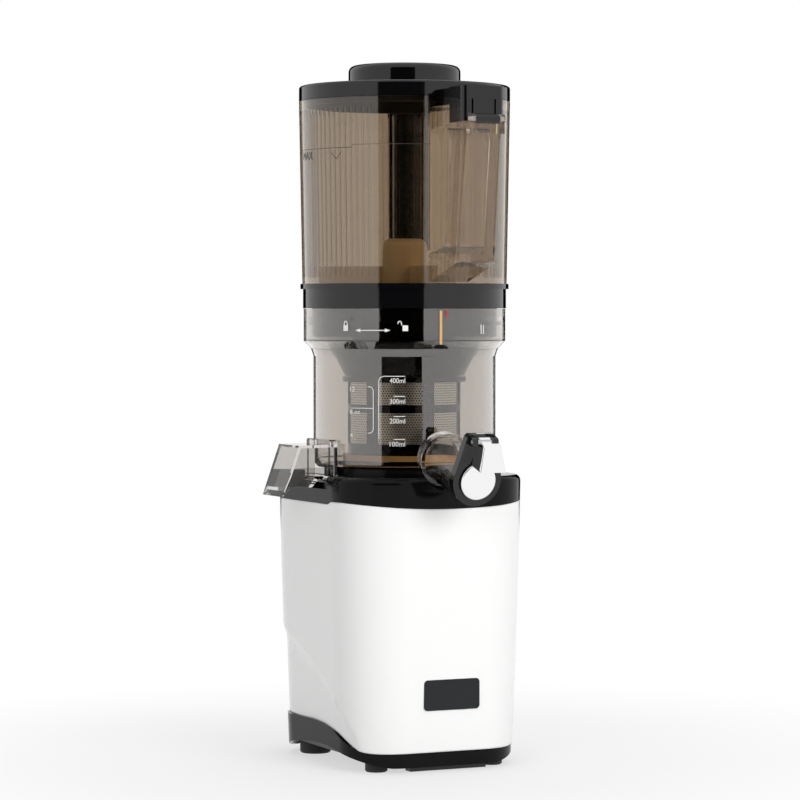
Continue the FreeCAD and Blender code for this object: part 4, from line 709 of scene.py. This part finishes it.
def flat_words(words, left, low, width, height):
    """Lettering fitted into a box."""
    curve = bpy.data.curves.new("words", "FONT")
    curve.body = words
    curve.resolution_u = 3
    drawn = bpy.data.objects.new("words", curve)
    bpy.context.scene.collection.objects.link(drawn)
    settled = drawn.evaluated_get(bpy.context.evaluated_depsgraph_get())
    shape = bpy.data.meshes.new_from_object(settled)
    across = [vert.co.x for vert in shape.vertices]
    upward = [vert.co.y for vert in shape.vertices]
    corners = []
    for x, y in zip(across, upward):
        share_x = (x - min(across)) / (max(across) - min(across))
        share_y = (y - min(upward)) / (max(upward) - min(upward))
        corners.append((left + width * share_x, low + height * share_y))
    faces = [tuple(face.vertices) for face in shape.polygons]
    bpy.data.objects.remove(drawn)
    bpy.data.curves.remove(curve)
    bpy.data.meshes.remove(shape)
    return corners, faces


def bent_print(name, body, radius, shapes, material):
    """Lays flat shapes on a round wall as a thin layer of ink."""
    corners = []
    faces = []
    for shape_corners, shape_faces in shapes:
        first = len(corners)
        for along, level in shape_corners:
            turn = FACE_TURN + along / radius
            reach = radius + INK_DEPTH
            corners.append((reach * math.cos(turn), reach * math.sin(turn), level))
        faces += [tuple(first + index for index in face) for face in shape_faces]
    layer = edged_solid(name, corners, faces)
    ink = layer.modifiers.new("ink", "SOLIDIFY")
    ink.thickness = INK_DEPTH * 0.8
    ink.offset = -1.0
    layer.data.materials.append(material)
    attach(layer, body)
    return layer


THIN = 0.0005
BOWL_FACE = 0.07
COLLAR_FACE = 0.0775
HOPPER_FACE = 0.0803
scale_marks = [flat_bar(-0.0155, 0.0005, 0.2962, 0.2967)]
scale_marks += flat_path([(-0.0155, 0.29645), (-0.0183, 0.2955), (-0.0195, 0.2929),
                          (-0.0195, 0.2494)], THIN)
for level in (0.2812, 0.2662, 0.249):
    scale_marks.append(flat_bar(-0.0081, 0.0005, level, level + THIN))
for words, level in (("400ml", 0.2914), ("300ml", 0.2759), ("200ml", 0.2611), ("100ml", 0.2439)):
    scale_marks.append(flat_words(words, -0.0111, level, 0.0116, 0.0037))
scale_marks += flat_path([(-0.0282, 0.2886), (-0.0253, 0.2882), (-0.0238, 0.2861), (-0.0238, 0.2562),
                          (-0.0253, 0.2541), (-0.0282, 0.2537)], THIN)
scale_marks.append(flat_bar(-0.043, -0.0238, 0.2722, 0.2726))
scale_marks.append(flat_words("12", -0.0436, 0.2849, 0.0042, 0.0035))
scale_marks.append(flat_words("8 oz", -0.0436, 0.268, 0.0088, 0.0032))
scale_marks.append(flat_words("4", -0.0436, 0.2502, 0.0024, 0.0036))
bent_print("bowl_scale", "bowl", BOWL_FACE, scale_marks, ink_white)

LOCK_WIDTH = 0.0041
LOCK_FOOT = 0.3303
LOCK_TOP = 0.3345
SHACKLE_LEVEL = 0.3358
SHACKLE_OPEN = 0.3356
SHACKLE_WIDE = 0.0014
SHACKLE_HIGH = 0.0018
SHACKLE_LINE = 0.0007
SHACKLE_STEPS = 8
lock_marks = []
for lock_left, swing, shackle_end in ((-0.0488, 0.0, LOCK_TOP), (-0.0014, 0.0042, SHACKLE_OPEN)):
    lock_marks.append(flat_bar(lock_left, lock_left + LOCK_WIDTH, LOCK_FOOT, LOCK_TOP))
    shackle = []
    for step in range(SHACKLE_STEPS + 1):
        turn = math.pi * step / SHACKLE_STEPS
        along = lock_left + LOCK_WIDTH / 2 - swing + SHACKLE_WIDE * math.cos(turn)
        shackle.append((along, SHACKLE_LEVEL + SHACKLE_HIGH * math.sin(turn)))
    shackle = [(shackle[0][0], LOCK_TOP)] + shackle + [(shackle[-1][0], shackle_end)]
    lock_marks += flat_path(shackle, SHACKLE_LINE)
lock_marks.append(flat_bar(-0.0365, -0.0122, 0.3305, 0.3311))
for tip, turn in ((-0.0382, 1.0), (-0.0105, -1.0)):
    arrow = [(tip, 0.3308), (tip + turn * 0.0042, 0.3294), (tip + turn * 0.0042, 0.3322)]
    lock_marks.append((arrow, [(0, 1, 2) if turn > 0 else (0, 2, 1)]))
for left in (0.0645, 0.0672):
    lock_marks.append(flat_bar(left, left + 0.0008, 0.328, 0.3348))
bent_print("lock_marks", "bowl", COLLAR_FACE, lock_marks, ink_white)
bent_print("lock_line", "bowl", COLLAR_FACE, [flat_bar(0.0268, 0.0288, 0.3202, 0.3455)], ink_amber)
bent_print("lock_tick", "bowl", COLLAR_FACE, [flat_bar(0.0319, 0.0332, 0.3403, 0.346)], ink_red)

fill_marks = [flat_bar(-0.1052, -0.0407, 0.4672, 0.4676), flat_bar(-0.0407, 0.0196, 0.4693, 0.4696)]
fill_marks.append(flat_words("MAX", -0.102, 0.4595, 0.018, 0.0061))
fill_marks += flat_path([(-0.0603, 0.464), (-0.0554, 0.459), (-0.0505, 0.464)], THIN)
bent_print("fill_mark", "hopper_set", HOPPER_FACE, fill_marks, mark_dark)

# Foot ring: the amber seat that the strainer stands in, seen through the bowl.
FOOT_RING = ((0.044, 0.2296), (0.0475, 0.2296), (0.0475, 0.2355), (0.044, 0.2355))
RING_STEPS = 72
ring_corners = []
for step in range(RING_STEPS):
    turn = 2.0 * math.pi * step / RING_STEPS
    for radius, level in FOOT_RING:
        ring_corners.append((radius * math.cos(turn), radius * math.sin(turn), level))
ring_faces = []
for step in range(RING_STEPS):
    here = step * len(FOOT_RING)
    there = (step + 1) % RING_STEPS * len(FOOT_RING)
    for side in range(len(FOOT_RING)):
        after = (side + 1) % len(FOOT_RING)
        ring_faces.append((here + side, there + side, there + after, here + after))
strainer_seat = edged_solid("strainer_seat", ring_corners, ring_faces)
strainer_seat.data.materials.append(ink_amber)
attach(strainer_seat, "bowl")
